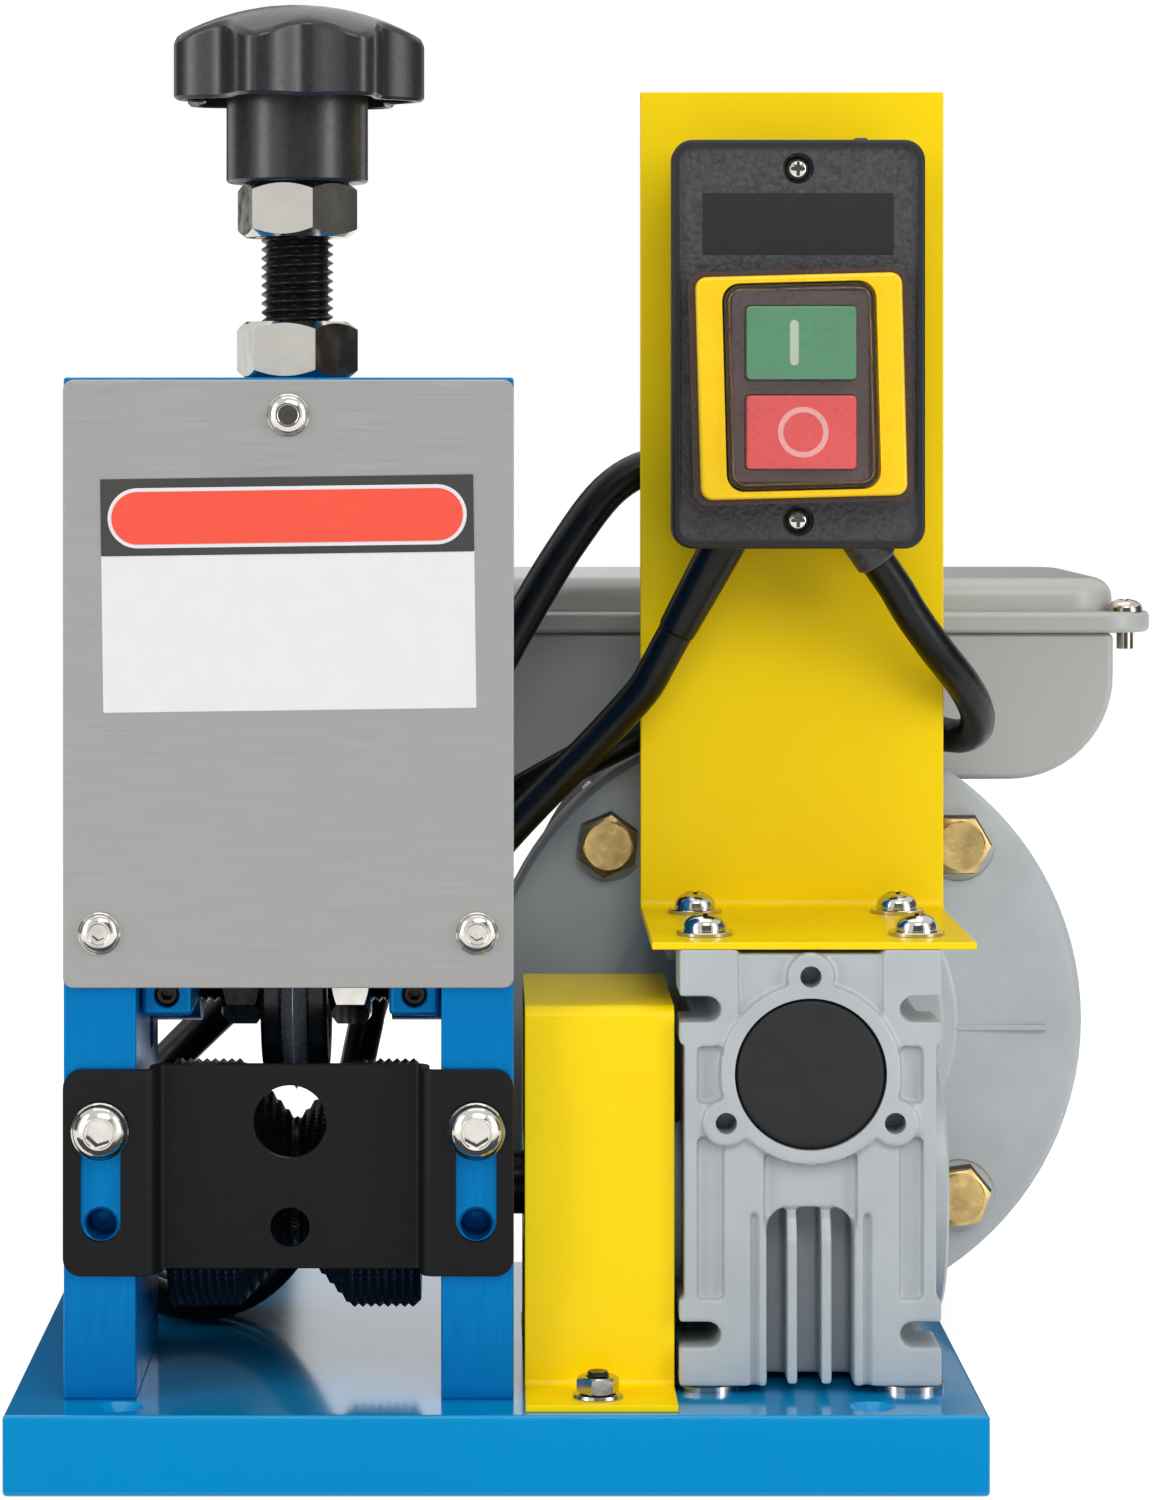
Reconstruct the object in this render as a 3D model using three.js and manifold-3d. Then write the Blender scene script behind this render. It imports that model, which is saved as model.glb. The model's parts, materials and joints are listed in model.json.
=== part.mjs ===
// Electric wire stripping machine: a bench stand that carries a stripping head on the left
// and a worm gearbox with its flanged motor on the right.
// Millimetres. Origin: middle of the underside of the base plate. +Z is up, the front faces -Y.
import * as THREE from 'three';
import * as BufferGeometryUtils from 'three/addons/utils/BufferGeometryUtils.js';
import Module from 'manifold-3d';

const wasm = await Module();
wasm.setup();

// Fits shared by the whole machine
const overrun = 2;
const plainCornerSteps = 1;
const smallCornerSteps = 2;
const cornerSteps = 3;
const slotEndSteps = 4;
const fitGap = 0.3;
const weldDistance = 0.0001;
const sheetBendSteps = 2;
const rimSides = 28;
const fineSides = 20;
const roundSides = 16;
const screwSides = 12;
const smallSides = 8;

// Base plate
const baseWidth = 207.4;
const baseDepth = 170;
const baseThick = 17.1;
const baseChamfer = 0.8;
const benchHoleX = 79.6;
const benchHoleInset = 8.4;
const benchHoleRadius = 2.8;
const benchSinkRadius = 4.9;
const flangeReliefDepth = 2.4;
const flangeReliefGap = 1.2;

// Head frame: two side plates under a top plate
const headX = -44.2;
const headWidth = 96;
const headDepth = 64;
const headSetback = 15;
const headTop = 235;
const sidePlateThick = 15.5;
const topPlateThick = 15.5;
const plateChamfer = 0.6;
const guideKeyWidth = 8;
const guideKeyDepth = 4;
const guideKeyBottom = 86;

// Front cover sheet and its three button screws
const coverThick = 1.5;
const coverBottom = 105;
const coverDrop = 0.5;
const coverCorner = 2;
const coverScrewTopDrop = 8;
const coverScrewLowRise = 11.7;
const coverScrewInset = 7.8;
const coverScrewHead = 4.5;
const coverScrewHeadHeight = 2.4;
const coverScrewShank = 2.4;
const coverScrewLength = 11;

// Wire guide: a hat-section sheet on two slots
const guideThick = 2;
const guideBottom = 43.7;
const guideHeight = 43.9;
const guideRecess = 9;
const guideEarWidth = 20;
const guideBend = 1.2;
const guideCorner = 4;
const guideHoleRadius = 7.85;
const guideHoleZ = 75.2;
const guideSmallHoleRadius = 4.25;
const guideSmallHoleZ = 52.6;
const guideSlotWidth = 8.6;
const guideSlotInset = 8;
const guideSlotBottom = 51;
const guideSlotTop = 79;
const guideScrewZ = 74.7;
const guideScrewHead = 6.15;
const guideScrewHeadHeight = 4.2;
const guideScrewShank = 3.9;
const guideScrewLength = 14;
const spareHoleRadius = 3.35;
const spareHoleZ = 54.4;
const spareHoleDepth = 12;
const socketShare = 0.52;
const socketDepthShare = 0.55;
const buttonCrownShare = 0.72;

// Work line: the roller and the blade turn above each other
const workSetback = 59.4;
const rollerZ = 55.9;
const bladeZ = 102.2;

// Feed roller with its V groove and knurled flanks
const rollerRadius = 27.4;
const rollerEndGap = 1.75;
const rollerChamfer = 1.5;
const grooveHalfWidth = 12;
const grooveFloorRadius = 14.6;
const grooveFloorHalfWidth = 0.6;
const knurlDepth = 0.7;
const knurlCount = 20;
const rollerShaftRadius = 7;
const rollerShoulderRadius = 9.5;
const rollerShaftInset = 3;
const shaftEndGap = 4;

// Roller bearings: flanged housings let into the side plates
const bearingHubRadius = 13;
const bearingFlangeRadius = 20;
const bearingFlangeThick = 3;

// Blade carriage: a fork that slides between the side plates
const carriageFrontGap = 0.4;
const carriageDepth = 52;
const carriageArmShare = 0.705;
const carriageArmBottom = 97.6;
const carriageForkTop = 131;
const carriageTop = 152;
const carriageBossRadius = 10;
const carriageArmChamfer = 1.6;
const clampHoleShare = 0.236;
const clampHoleDepth = 26;
const screwSlotFloor = 137;
const screwSlotHeight = 7;

// Blade stack on its clamped shaft
const bladeShaftRadius = 6;
const bladeRadius = 25.4;
const bladeThick = 6;
const bladeEdgeDepth = 5;
const bladeFlangeRadius = 21;
const bladeFlangeThick = 4.3;
const bladeNutAcross = 19;
const bladeNutHeight = 9;

// Adjusting screw, its nuts and the star knob
const screwRadius = 8;
const screwFootRadius = 12;
const screwNutAcross = 24;
const screwNutChamferShare = 0.93;
const lockNutHeight = 12.6;
const lockNutTurn = 19;
const jamNutBottom = 266.7;
const jamNutHeight = 12.2;
const jamNutTurn = 16.5;
const knobHubRadius = 15.3;
const knobHubHeight = 18;
const knobRadius = 27.6;
const knobWaveDepth = 5.8;
const knobLobes = 7;
const knobLobeSteps = 5;
const knobTurn = -18;
const knobHeadHeight = 15;
const knobDomeHeight = 6.6;
const knobDomeSteps = 4;
const knobUnderRadius = 20;
const knobUnderDepth = 7;
const knobSpigotDepth = 14;

// Worm gearbox casting
const gearX = 67.4;
const gearWidth = 56.2;
const gearDepth = 80;
const gearSetback = 19.4;
const gearTop = 112.4;
const gearFootGap = 1.8;
const gearFootRadius = 6;
const gearWaistInset = 3.2;
const lugDepth = 18;
const lugUpperHeight = 20;
const lugLowerHeight = 18.4;
const lugSlotHeight = 5.2;
const lugSlotReach = 8.9;
const lugSlotUpperZ = 99.7;
const lugSlotLowerZ = 30;
const channelWidth = 4.6;
const channelDepth = 1.6;
const channelSpread = 21.5;
const channelBandBottom = 71.1;
const channelBandTop = 78.2;
const topPanelWidth = 31.2;
const topPanelBottom = 92;
const topPanelDepth = 1.2;
const topPanelRim = 0.8;
const topPadWidth = 10.3;
const topRebateDepth = 0.9;
const outputBossWall = 2.5;
const outputBossReach = 3;
const outputHubRadius = 12.5;
const wormZ = 85.9;
const wormBoreRadius = 11;
const capRingRadius = 19.2;
const capRingReach = 1.2;
const capEarRadius = 5;
const capEarReach = 20.9;
const capEarHole = 2.3;
const capEarDepth = 9;
const capRadius = 16;
const capThick = 6;
const capProud = 1.4;
const ribPocketWidth = 18.9;
const ribPocketTop = 57;
const ribPocketDepth = 7;
const ribPocketCorner = 4.7;
const ribPanelDepth = 2;
const ribWallThick = 2;
const ribGrooveWidth = 1.6;
const ribGrooveDepth = 1.5;
const ribGrooveTop = 54;
const ribThick = 2.1;
const ribSpacing = 7.5;
const wheelRunGap = 2.6;
const wheelChamberWall = 13;
const sideCoverPlug = 17;

// Worm and worm wheel, centre distance from the two axes
const wheelTeeth = 30;
const wheelPitchRadius = 21.6;
const wheelWidth = 14;
const toothAddendum = 1.3;
const toothDedendum = 1.8;
const toothBacklash = 0.5;
const toothPressureAngle = 20;
const wormLength = 28;
const wormTurnSteps = 10;
const wormJournalRadius = 5.6;
const wormJournalLength = 15;
const wormHubRadius = 9.5;
const wormHubLength = 38;
const wormHubBore = 6;
const wormHubBoreDepth = 30;
const outputStubReach = 12;

// Shaft coupling sleeve and its bent cover
const couplingRadius = 13;
const couplingGap = 2.5;
const guardHeadGap = 2.4;
const guardGearGap = 0.9;
const guardFront = 22.5;
const guardRear = 81.6;
const guardTop = 100;
const guardThick = 1.5;
const guardBend = 1.5;
const guardFootReach = 20.3;
const guardFootHole = 2.8;
const guardFootHoleReach = 12.5;

// Input flange of the gearbox and its four hexagon bolts
const flangeRadius = 70;
const flangeFront = 105.4;
const flangeBack = 115;
const flangeNeckRadius = 36;
const flangeRimBevel = 1;
const flangeConeRadius = 66;
const flangeConeStep = 3.6;
const flangeBore = 20;
const flangeBoltCircle = 58;
const flangeBoltAcross = 13;
const flangeBoltTurnStep = 23;
const flangeBoltHeadHeight = 5.3;
const flangeBoltRadius = 4;
const flangeBoltLength = 18;
const flangeBoltSpot = 8.6;
const flangeRibThick = 1.3;
const flangeRibDrop = 2.2;

// Motor
const motorFlangeThick = 9;
const motorBodyRadius = 55;
const motorFinRadius = 60;
const motorFinCount = 20;
const motorFinRootShare = 0.2;
const motorFinTipShare = 0.12;
const motorLength = 139;
const motorBore = 40;
const motorBoreInset = 12;
const rotorRadius = 38.5;
const rotorInset = 10;
const rotorLength = 104;
const motorShaftRadius = 5.5;
const shieldRadius = 57;
const shieldThick = 8;
const shieldSpigot = 4;
const fanGap = 4;
const fanHubRadius = 13;
const fanHubLength = 18;
const fanRadius = 48;
const fanBladeThick = 2;
const fanBlades = 7;
const cowlThick = 1.5;
const cowlLap = 8;
const cowlLength = 48;
const cowlSlots = 10;
const cowlSlotWidth = 5;
const cowlSlotInner = 18;
const cowlSlotOuter = 46;

// Terminal box across the motor
const termFront = 135;
const termDepth = 100;
const termWidth = 163.8;
const termX = 67.2;
const termBottom = 139.7;
const termTop = 175;
const termCorner = 25;
const termWall = 3;
const termCavityFloor = 150;
const lidRimThick = 5;
const lidRimWidth = 183.4;
const lidRimProud = 2;
const lidRimCorner = 12;
const lidTop = 190;
const lidDomeInset = 5;
const lidDomeRound = 5;

// Switch bracket: one bent sheet screwed to the top of the gearbox
const bracketThick = 1.6;
const bracketWidth = 69.7;
const bracketX = 68.3;
const bracketFront = 20;
const bracketBack = 89.6;
const bracketTop = 301.5;
const bracketBend = 2;
const bracketScrewSpread = 23;
const bracketScrewX = 68.5;
const bracketScrewFront = 34;
const bracketScrewBack = 78;
const bracketScrewHead = 4.4;
const bracketScrewHeadHeight = 3.2;
const bracketWasherRadius = 5.6;
const bracketWasherThick = 1;
const bracketScrewShank = 2.4;
const bracketScrewLength = 9;

// Switch box, bezel, button guard and the two buttons
const boxX = 67.7;
const boxWidth = 56.5;
const boxBottom = 197.3;
const boxHeight = 91.3;
const boxDepth = 30;
const boxCorner = 5;
const boxRimWidth = 1.8;
const boxRimDepth = 0.8;
const boxScrewWell = 3.5;
const boxScrewWellDepth = 3;
const boxScrewUpperZ = 282.2;
const boxScrewLowerZ = 203.6;
const boxPocketDepth = 14;
const bezelWidth = 46.6;
const bezelHeight = 49.4;
const bezelZ = 233.5;
const bezelProud = 9;
const bezelCorner = 2.4;
const bezelTilt = 1.5;
const guardShellWidth = 33.2;
const guardShellHeight = 45.2;
const guardShellWall = 1;
const guardShellProud = 11.2;
const guardShellCorner = 4;
const buttonWidth = 24.3;
const buttonHeight = 16.3;
const buttonCorner = 1.2;
const buttonProud = 8.6;
const buttonDepth = 16;
const startButtonZ = 243.1;
const stopButtonZ = 223.3;

// Leads: the mains cord with its hank and plug, and the lead to the motor
const cordRadius = 4;
const cordSides = 6;
const bootSides = 8;
const bootRadius = 5.6;
const bootLength = 22;
const bootTipRadius = 4.4;
const mainsExit = [51.1, 70, 197.3];
const mainsLean = [-0.457, 0.19, -0.868];
const motorExit = [84.2, 70, 197.3];
const motorLean = [0.563, 0.169, -0.809];
const motorCollarLength = 4;
const termGlandX = 80;
const termGlandZ = 161;
const termGlandRadius = 7;
const termGlandReach = 8;
const hankLow = [-69, 46.6];
const hankHigh = [44, 191.5];
const hankBulb = 25;
const hankWaist = 6;
const hankBow = 9;
const hankSetback = 94.6;
const hankPitch = 8.8;
const hankSides = 6;
const hankRunSteps = 5;
const hankBulbSteps = 7;
const hankStartShare = 0.7;
const hankEndShare = 11.29;
const hankNudgeShare = 0.01;
const plugWidth = 26;
const plugHeight = 19;
const plugLength = 34;
const plugCorner = 5;
const plugBevel = 1.7;
const plugNeckLength = 8;
const prongWidth = 6.4;
const prongThick = 1.5;
const prongReach = 17;
const prongSpacing = 12.7;
const earthPinRadius = 2.3;
const earthPinReach = 19;
const earthPinDrop = 4.5;

// Free stretches of cord: [x, distance behind the front of the base, z]
const mainsRoute = [
  [34.4, 77.6, 165.6], [30.4, 79.6, 160.6], [26, 81.4, 155.6], [21, 82.9, 150.2], [15.5, 83.9, 144.6],
  [10, 84.2, 139], [4, 84.4, 132.6], [-2, 84.8, 125.8], [-8, 85.8, 118.8], [-13.4, 87.2, 112.2],
  [-18.4, 89.2, 105.6],
];
const tailRoute = [
  [59.5, 121.9, 213.8], [65.9, 126.8, 210.3], [70.8, 133.2, 206.4], [73.9, 140.6, 203], [75, 148.6, 200.8],
];
const plugPlace = [75, 166, 199.9];
const motorRoute = [
  [93.4, 72.8, 183.4], [97.6, 74.4, 177.4], [101.2, 76.4, 172.8], [104.6, 79.4, 168.8], [107.6, 83.4, 165],
  [110.2, 88.4, 161], [111.7, 94, 157.2], [111.4, 100, 153.8], [108.6, 105.4, 152.2], [104, 109.4, 152.8],
  [98.6, 111.8, 155], [93, 113.4, 157.8], [87.4, 115.2, 160], [82.9, 117.4, 161],
];

// Places worked out from the sizes above
const frontY = -baseDepth / 2;
const headFrontY = frontY + headSetback;
const headBackY = headFrontY + headDepth;
const headLeftX = headX - headWidth / 2;
const headRightX = headX + headWidth / 2;
const leftInnerX = headLeftX + sidePlateThick;
const rightInnerX = headRightX - sidePlateThick;
const plateTopZ = headTop - topPlateThick;
const coverScrewSpread = headWidth / 2 - coverScrewInset;
const guideSlotSpread = headWidth / 2 - guideSlotInset;
const guideCentreWidth = headWidth - 2 * guideEarWidth;
const workY = frontY + workSetback;
const guideRecessY = headFrontY - guideThick + guideRecess;
const carriageFrontY = guideRecessY + guideThick + carriageFrontGap;
const carriageBackY = carriageFrontY + carriageDepth;
const jamNutTop = jamNutBottom + jamNutHeight;
const gearFrontY = frontY + gearSetback;
const gearBackY = gearFrontY + gearDepth;
const gearLeftX = gearX - gearWidth / 2;
const gearRightX = gearX + gearWidth / 2;
const gearBottomZ = baseThick + gearFootGap;
const wormPitchRadius = wormZ - rollerZ - wheelPitchRadius;
const wormLead = 2 * Math.PI * wheelPitchRadius / wheelTeeth;
const wheelChamberRadius = wheelPitchRadius + toothAddendum + wheelRunGap;
const outputBossRadius = wheelChamberRadius + outputBossWall;
const stubEndX = gearLeftX - outputBossReach - outputStubReach;
const rollerEndX = stubEndX - shaftEndGap;
const flangeFrontY = frontY + flangeFront;
const flangeBackY = frontY + flangeBack;
const motorBackY = flangeBackY + motorFlangeThick + motorLength;
const shieldBackY = motorBackY + shieldThick;
const termFrontY = frontY + termFront;
const panelFrontY = frontY + bracketBack - bracketThick;
const boxFrontY = panelFrontY - boxDepth;
const rad = Math.PI / 180;

// Finishes
const finish = (colour, roughness, metalness) => new THREE.MeshStandardMaterial({ color: colour, roughness, metalness });
const blueAnodised = finish(0x0272c4, 0.35, 0.4);
const brushedSteel = finish(0xa3a19e, 0.4, 0.9);
const brightZinc = finish(0xc9c8c2, 0.25, 1);
const yellowZinc = finish(0xb8a66a, 0.35, 1);
const blackSheet = finish(0x1c1c1e, 0.45, 0.2);
const blackOxide = finish(0x161617, 0.5, 0.6);
const blackPlastic = finish(0x19191b, 0.55, 0);
const bladeSteel = finish(0x8d8f94, 0.25, 1);
const castAluminium = finish(0xb4b6b7, 0.5, 0.3);
const greyPaint = finish(0x9da0a2, 0.5, 0.1);
const greyPlastic = finish(0x9a9d9a, 0.5, 0);
const yellowPaint = finish(0xf2c90a, 0.4, 0);
const greenPlastic = finish(0x17884a, 0.4, 0);
const redPlastic = finish(0xd8303c, 0.4, 0);
const clearPlastic = new THREE.MeshStandardMaterial({ color: 0xd8d0c0, roughness: 0.15, transparent: true, opacity: 0.3 });
const bronze = finish(0xb58a4a, 0.4, 0.9);
const blackCord = finish(0x151516, 0.6, 0);

// Turns that lay a shape's own plane and depth along a machine axis
const axisTurn = {
  x: new THREE.Matrix4().makeBasis(
    new THREE.Vector3(0, 1, 0), new THREE.Vector3(0, 0, 1), new THREE.Vector3(1, 0, 0)),
  y: new THREE.Matrix4().makeBasis(
    new THREE.Vector3(1, 0, 0), new THREE.Vector3(0, 0, 1), new THREE.Vector3(0, -1, 0)),
  z: new THREE.Matrix4(),
};
const spinTurn = {
  x: new THREE.Matrix4().makeBasis(
    new THREE.Vector3(0, 1, 0), new THREE.Vector3(1, 0, 0), new THREE.Vector3(0, 0, -1)),
  y: new THREE.Matrix4(),
  z: new THREE.Matrix4().makeBasis(
    new THREE.Vector3(1, 0, 0), new THREE.Vector3(0, 0, 1), new THREE.Vector3(0, -1, 0)),
};

// A closed three.js geometry as a solid, with its faces turned outward
function solidOf(geometry) {
  const bare = geometry.clone();
  bare.deleteAttribute('normal');
  bare.deleteAttribute('uv');
  const welded = BufferGeometryUtils.mergeVertices(bare, weldDistance);
  const points = welded.attributes.position.array;
  const corner = (i) => new THREE.Vector3().fromArray(points, 3 * i);
  const triangles = [];
  let volume = 0;
  for (let i = 0; i < welded.index.count; i += 3) {
    const [a, b, c] = welded.index.array.slice(i, i + 3);
    if (a === b || b === c || a === c) continue;
    triangles.push([a, b, c]);
    volume += corner(a).dot(corner(b).cross(corner(c)));
  }
  const outward = volume > 0 ? triangles : triangles.map(([a, b, c]) => [a, c, b]);
  return new wasm.Manifold(new wasm.Mesh({
    numProp: 3,
    vertProperties: Float32Array.from(points),
    triVerts: Uint32Array.from(outward.flat()),
  }));
}

function geometryOf(solid) {
  const mesh = solid.getMesh();
  const geometry = new THREE.BufferGeometry();
  geometry.setAttribute('position', new THREE.BufferAttribute(Float32Array.from(mesh.vertProperties), 3));
  geometry.setIndex(new THREE.BufferAttribute(Uint32Array.from(mesh.triVerts), 1));
  geometry.computeVertexNormals();
  return geometry;
}

const join = (first, ...others) => others.reduce((whole, piece) => whole.add(piece), first);
const cut = (whole, ...tools) => tools.reduce((left, tool) => left.subtract(tool), whole);

function block([x0, x1], [y0, y1], [z0, z1]) {
  const geometry = new THREE.BoxGeometry(x1 - x0, y1 - y0, z1 - z0);
  geometry.translate((x0 + x1) / 2, (y0 + y1) / 2, (z0 + z1) / 2);
  return solidOf(geometry);
}

// A shape pushed along a machine axis: the shape lies in (y, z), (x, z) or (x, y)
function push(shape, axis, from, to, bevel = 0, curveSegments = 6, bevelSegments = 1) {
  const geometry = new THREE.ExtrudeGeometry(shape, {
    depth: to - from - 2 * bevel,
    bevelEnabled: bevel > 0,
    bevelThickness: bevel,
    bevelSize: bevel,
    bevelOffset: -bevel,
    bevelSegments,
    curveSegments,
  });
  geometry.translate(0, 0, (axis === 'y' ? -to : from) + bevel);
  geometry.applyMatrix4(axisTurn[axis]);
  return solidOf(geometry);
}

// A profile of [radius, place along the axis] turned round an axis through (u, v)
function turned(profile, axis, u, v, sides = roundSides) {
  const geometry = new THREE.LatheGeometry(profile.map(([r, h]) => new THREE.Vector2(r, h)), sides);
  geometry.applyMatrix4(spinTurn[axis]);
  return solidOf(shifted(geometry, axis, u, v));
}

function shifted(geometry, axis, u, v) {
  if (axis === 'x') return geometry.translate(0, u, v);
  if (axis === 'y') return geometry.translate(u, 0, v);
  return geometry.translate(u, v, 0);
}

const rod = (axis, radius, from, to, u, v, sides = roundSides) =>
  turned([[0, from], [radius, from], [radius, to], [0, to]], axis, u, v, sides);

function bevelledRod(axis, radius, from, to, u, v, bevel, sides = roundSides) {
  return turned([
    [0, from], [radius - bevel, from], [radius, from + bevel],
    [radius, to - bevel], [radius - bevel, to], [0, to],
  ], axis, u, v, sides);
}

function hexagon(axis, across, from, to, u, v, turn = 0) {
  const corner = across / Math.sqrt(3);
  const shape = new THREE.Shape();
  for (let i = 0; i < 6; i++) {
    const angle = (i * 60 + turn) * rad;
    const point = [u + corner * Math.cos(angle), v + corner * Math.sin(angle)];
    if (i === 0) shape.moveTo(...point);
    else shape.lineTo(...point);
  }
  return push(shape, axis, from, to);
}

// A hexagon nut or head with its corners turned off at one or both ends
function hexNut(axis, across, from, to, u, v, turn, bothEnds = true) {
  const corner = across / Math.sqrt(3);
  const flat = across / 2 * screwNutChamferShare;
  const drop = (corner - flat) * Math.tan(30 * rad);
  const low = bothEnds ? [[flat, from], [corner, from + drop]] : [[corner, from]];
  const high = [[corner, to - drop], [flat, to]];
  const envelope = turned([[0, from], ...low, ...high, [0, to]], axis, u, v, screwSides);
  return hexagon(axis, across, from, to, u, v, turn).intersect(envelope);
}

function roundedShape(centreU, centreV, width, height, radius) {
  const shape = new THREE.Shape();
  const left = centreU - width / 2;
  const right = centreU + width / 2;
  const low = centreV - height / 2;
  const high = centreV + height / 2;
  shape.moveTo(left + radius, low);
  shape.lineTo(right - radius, low);
  shape.absarc(right - radius, low + radius, radius, -Math.PI / 2, 0);
  shape.lineTo(right, high - radius);
  shape.absarc(right - radius, high - radius, radius, 0, Math.PI / 2);
  shape.lineTo(left + radius, high);
  shape.absarc(left + radius, high - radius, radius, Math.PI / 2, Math.PI);
  shape.lineTo(left, low + radius);
  shape.absarc(left + radius, low + radius, radius, Math.PI, 1.5 * Math.PI);
  return shape;
}

function outline(points) {
  const shape = new THREE.Shape();
  shape.setFromPoints(points.map(([u, v]) => new THREE.Vector2(u, v)));
  return shape;
}

// A sheet bent along a line of points: inside radius at each bend, even thickness
function bentSheet(points, thick, insideRadius) {
  const line = points.map(([u, v]) => new THREE.Vector2(u, v));
  const left = [];
  const right = [];
  const lay = (point, along) => {
    const side = new THREE.Vector2(-along.y, along.x).multiplyScalar(thick / 2);
    left.push(point.clone().add(side));
    right.push(point.clone().sub(side));
  };
  const middleRadius = insideRadius + thick / 2;
  const heading = (i) => line[i + 1].clone().sub(line[i]).normalize();
  lay(line[0], heading(0));
  for (let i = 1; i < line.length - 1; i++) {
    const before = heading(i - 1);
    const after = heading(i);
    const bend = Math.atan2(before.cross(after), before.dot(after));
    const reach = middleRadius * Math.tan(Math.abs(bend) / 2);
    const start = line[i].clone().addScaledVector(before, -reach);
    const hand = Math.sign(bend);
    const centre = start.clone().add(new THREE.Vector2(-before.y, before.x).multiplyScalar(hand * middleRadius));
    for (let step = 0; step <= sheetBendSteps; step++) {
      const along = before.clone().rotateAround(new THREE.Vector2(), bend * step / sheetBendSteps);
      const outwardSide = new THREE.Vector2(along.y, -along.x).multiplyScalar(hand * middleRadius);
      lay(centre.clone().add(outwardSide), along);
    }
  }
  lay(line[line.length - 1], heading(line.length - 2));
  return new THREE.Shape([...left, ...right.reverse()]);
}

// A tube through points whose radius runs evenly from one end to the other
function taperedTube(points, startRadius, endRadius, steps, sides) {
  const curve = new THREE.CatmullRomCurve3(points);
  const frames = curve.computeFrenetFrames(steps, false);
  const places = [];
  const faces = [];
  for (let i = 0; i <= steps; i++) {
    const centre = curve.getPointAt(i / steps);
    const radius = startRadius + (endRadius - startRadius) * i / steps;
    for (let j = 0; j < sides; j++) {
      const angle = 2 * Math.PI * j / sides;
      const point = centre.clone();
      point.addScaledVector(frames.normals[i], radius * Math.cos(angle));
      point.addScaledVector(frames.binormals[i], radius * Math.sin(angle));
      places.push(...point);
    }
  }
  for (let i = 0; i < steps; i++) {
    for (let j = 0; j < sides; j++) {
      const a = i * sides + j;
      const b = i * sides + (j + 1) % sides;
      faces.push(a, b, b + sides, a, b + sides, a + sides);
    }
  }
  for (let j = 1; j < sides - 1; j++) {
    faces.push(0, j + 1, j);
    faces.push(steps * sides, steps * sides + j, steps * sides + j + 1);
  }
  const geometry = new THREE.BufferGeometry();
  geometry.setAttribute('position', new THREE.Float32BufferAttribute(places, 3));
  geometry.setIndex(faces);
  return solidOf(geometry);
}

// A cord's route is written as [x, distance behind the front of the base, z]
const along = (point, lean, distance) => point.map((value, i) => value + lean[i] * distance);
const inMachine = ([x, setback, z]) => new THREE.Vector3(x, frontY + setback, z);

const machine = new THREE.Group();

function place(name, solid, material, parent = machine) {
  const mesh = new THREE.Mesh(geometryOf(solid), material);
  mesh.name = name;
  parent.add(mesh);
}

// A button-head screw along Y with its socket, head outward to the front
function buttonScrew(x, z, seatY, headRadius, headHeight, shankRadius, length) {
  const crown = headRadius * buttonCrownShare;
  const profile = [
    [0, seatY - headHeight], [crown, seatY - headHeight], [headRadius, seatY - headHeight * (1 - buttonCrownShare)],
    [headRadius, seatY], [shankRadius, seatY], [shankRadius, seatY + length], [0, seatY + length],
  ];
  const depth = headHeight * socketDepthShare;
  const socket = hexagon('y', headRadius * socketShare * Math.sqrt(3),
    seatY - headHeight - overrun, seatY - headHeight + depth, x, z);
  return cut(turned(profile, 'y', x, z, screwSides), socket);
}

// BASE AND HEAD FRAME

function basePlate() {
  const shape = roundedShape(0, 0, baseWidth, baseDepth, baseChamfer);
  const plate = push(shape, 'z', 0, baseThick, baseChamfer, plainCornerSteps);
  const holes = [];
  for (const x of [-benchHoleX, benchHoleX]) {
    for (const y of [frontY + benchHoleInset, -frontY - benchHoleInset]) {
      holes.push(turned([
        [0, -overrun], [benchHoleRadius, -overrun],
        [benchHoleRadius, baseThick - benchSinkRadius + benchHoleRadius],
        [benchSinkRadius, baseThick], [benchSinkRadius, baseThick + overrun], [0, baseThick + overrun],
      ], 'z', x, y, smallSides));
    }
  }
  const rimReach = flangeRadius + flangeReliefGap;
  const reliefHalf = Math.sqrt(rimReach ** 2 - (wormZ - baseThick) ** 2);
  const relief = block(
    [gearX - reliefHalf, gearX + reliefHalf],
    [flangeFrontY - flangeConeStep - flangeReliefGap, flangeBackY + motorFlangeThick + flangeReliefGap],
    [baseThick - flangeReliefDepth, baseThick + overrun]);
  return cut(plate, ...holes, relief);
}
place('base_plate', basePlate(), blueAnodised);

function coverScrewPlaces() {
  return {
    top: [headX, headTop - coverScrewTopDrop],
    left: [headX - coverScrewSpread, coverBottom + coverScrewLowRise],
    right: [headX + coverScrewSpread, coverBottom + coverScrewLowRise],
  };
}

function screwHole(x, z, radius, depth) {
  return rod('y', radius + fitGap, headFrontY - overrun, headFrontY + depth + fitGap, x, z, smallSides);
}

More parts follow.
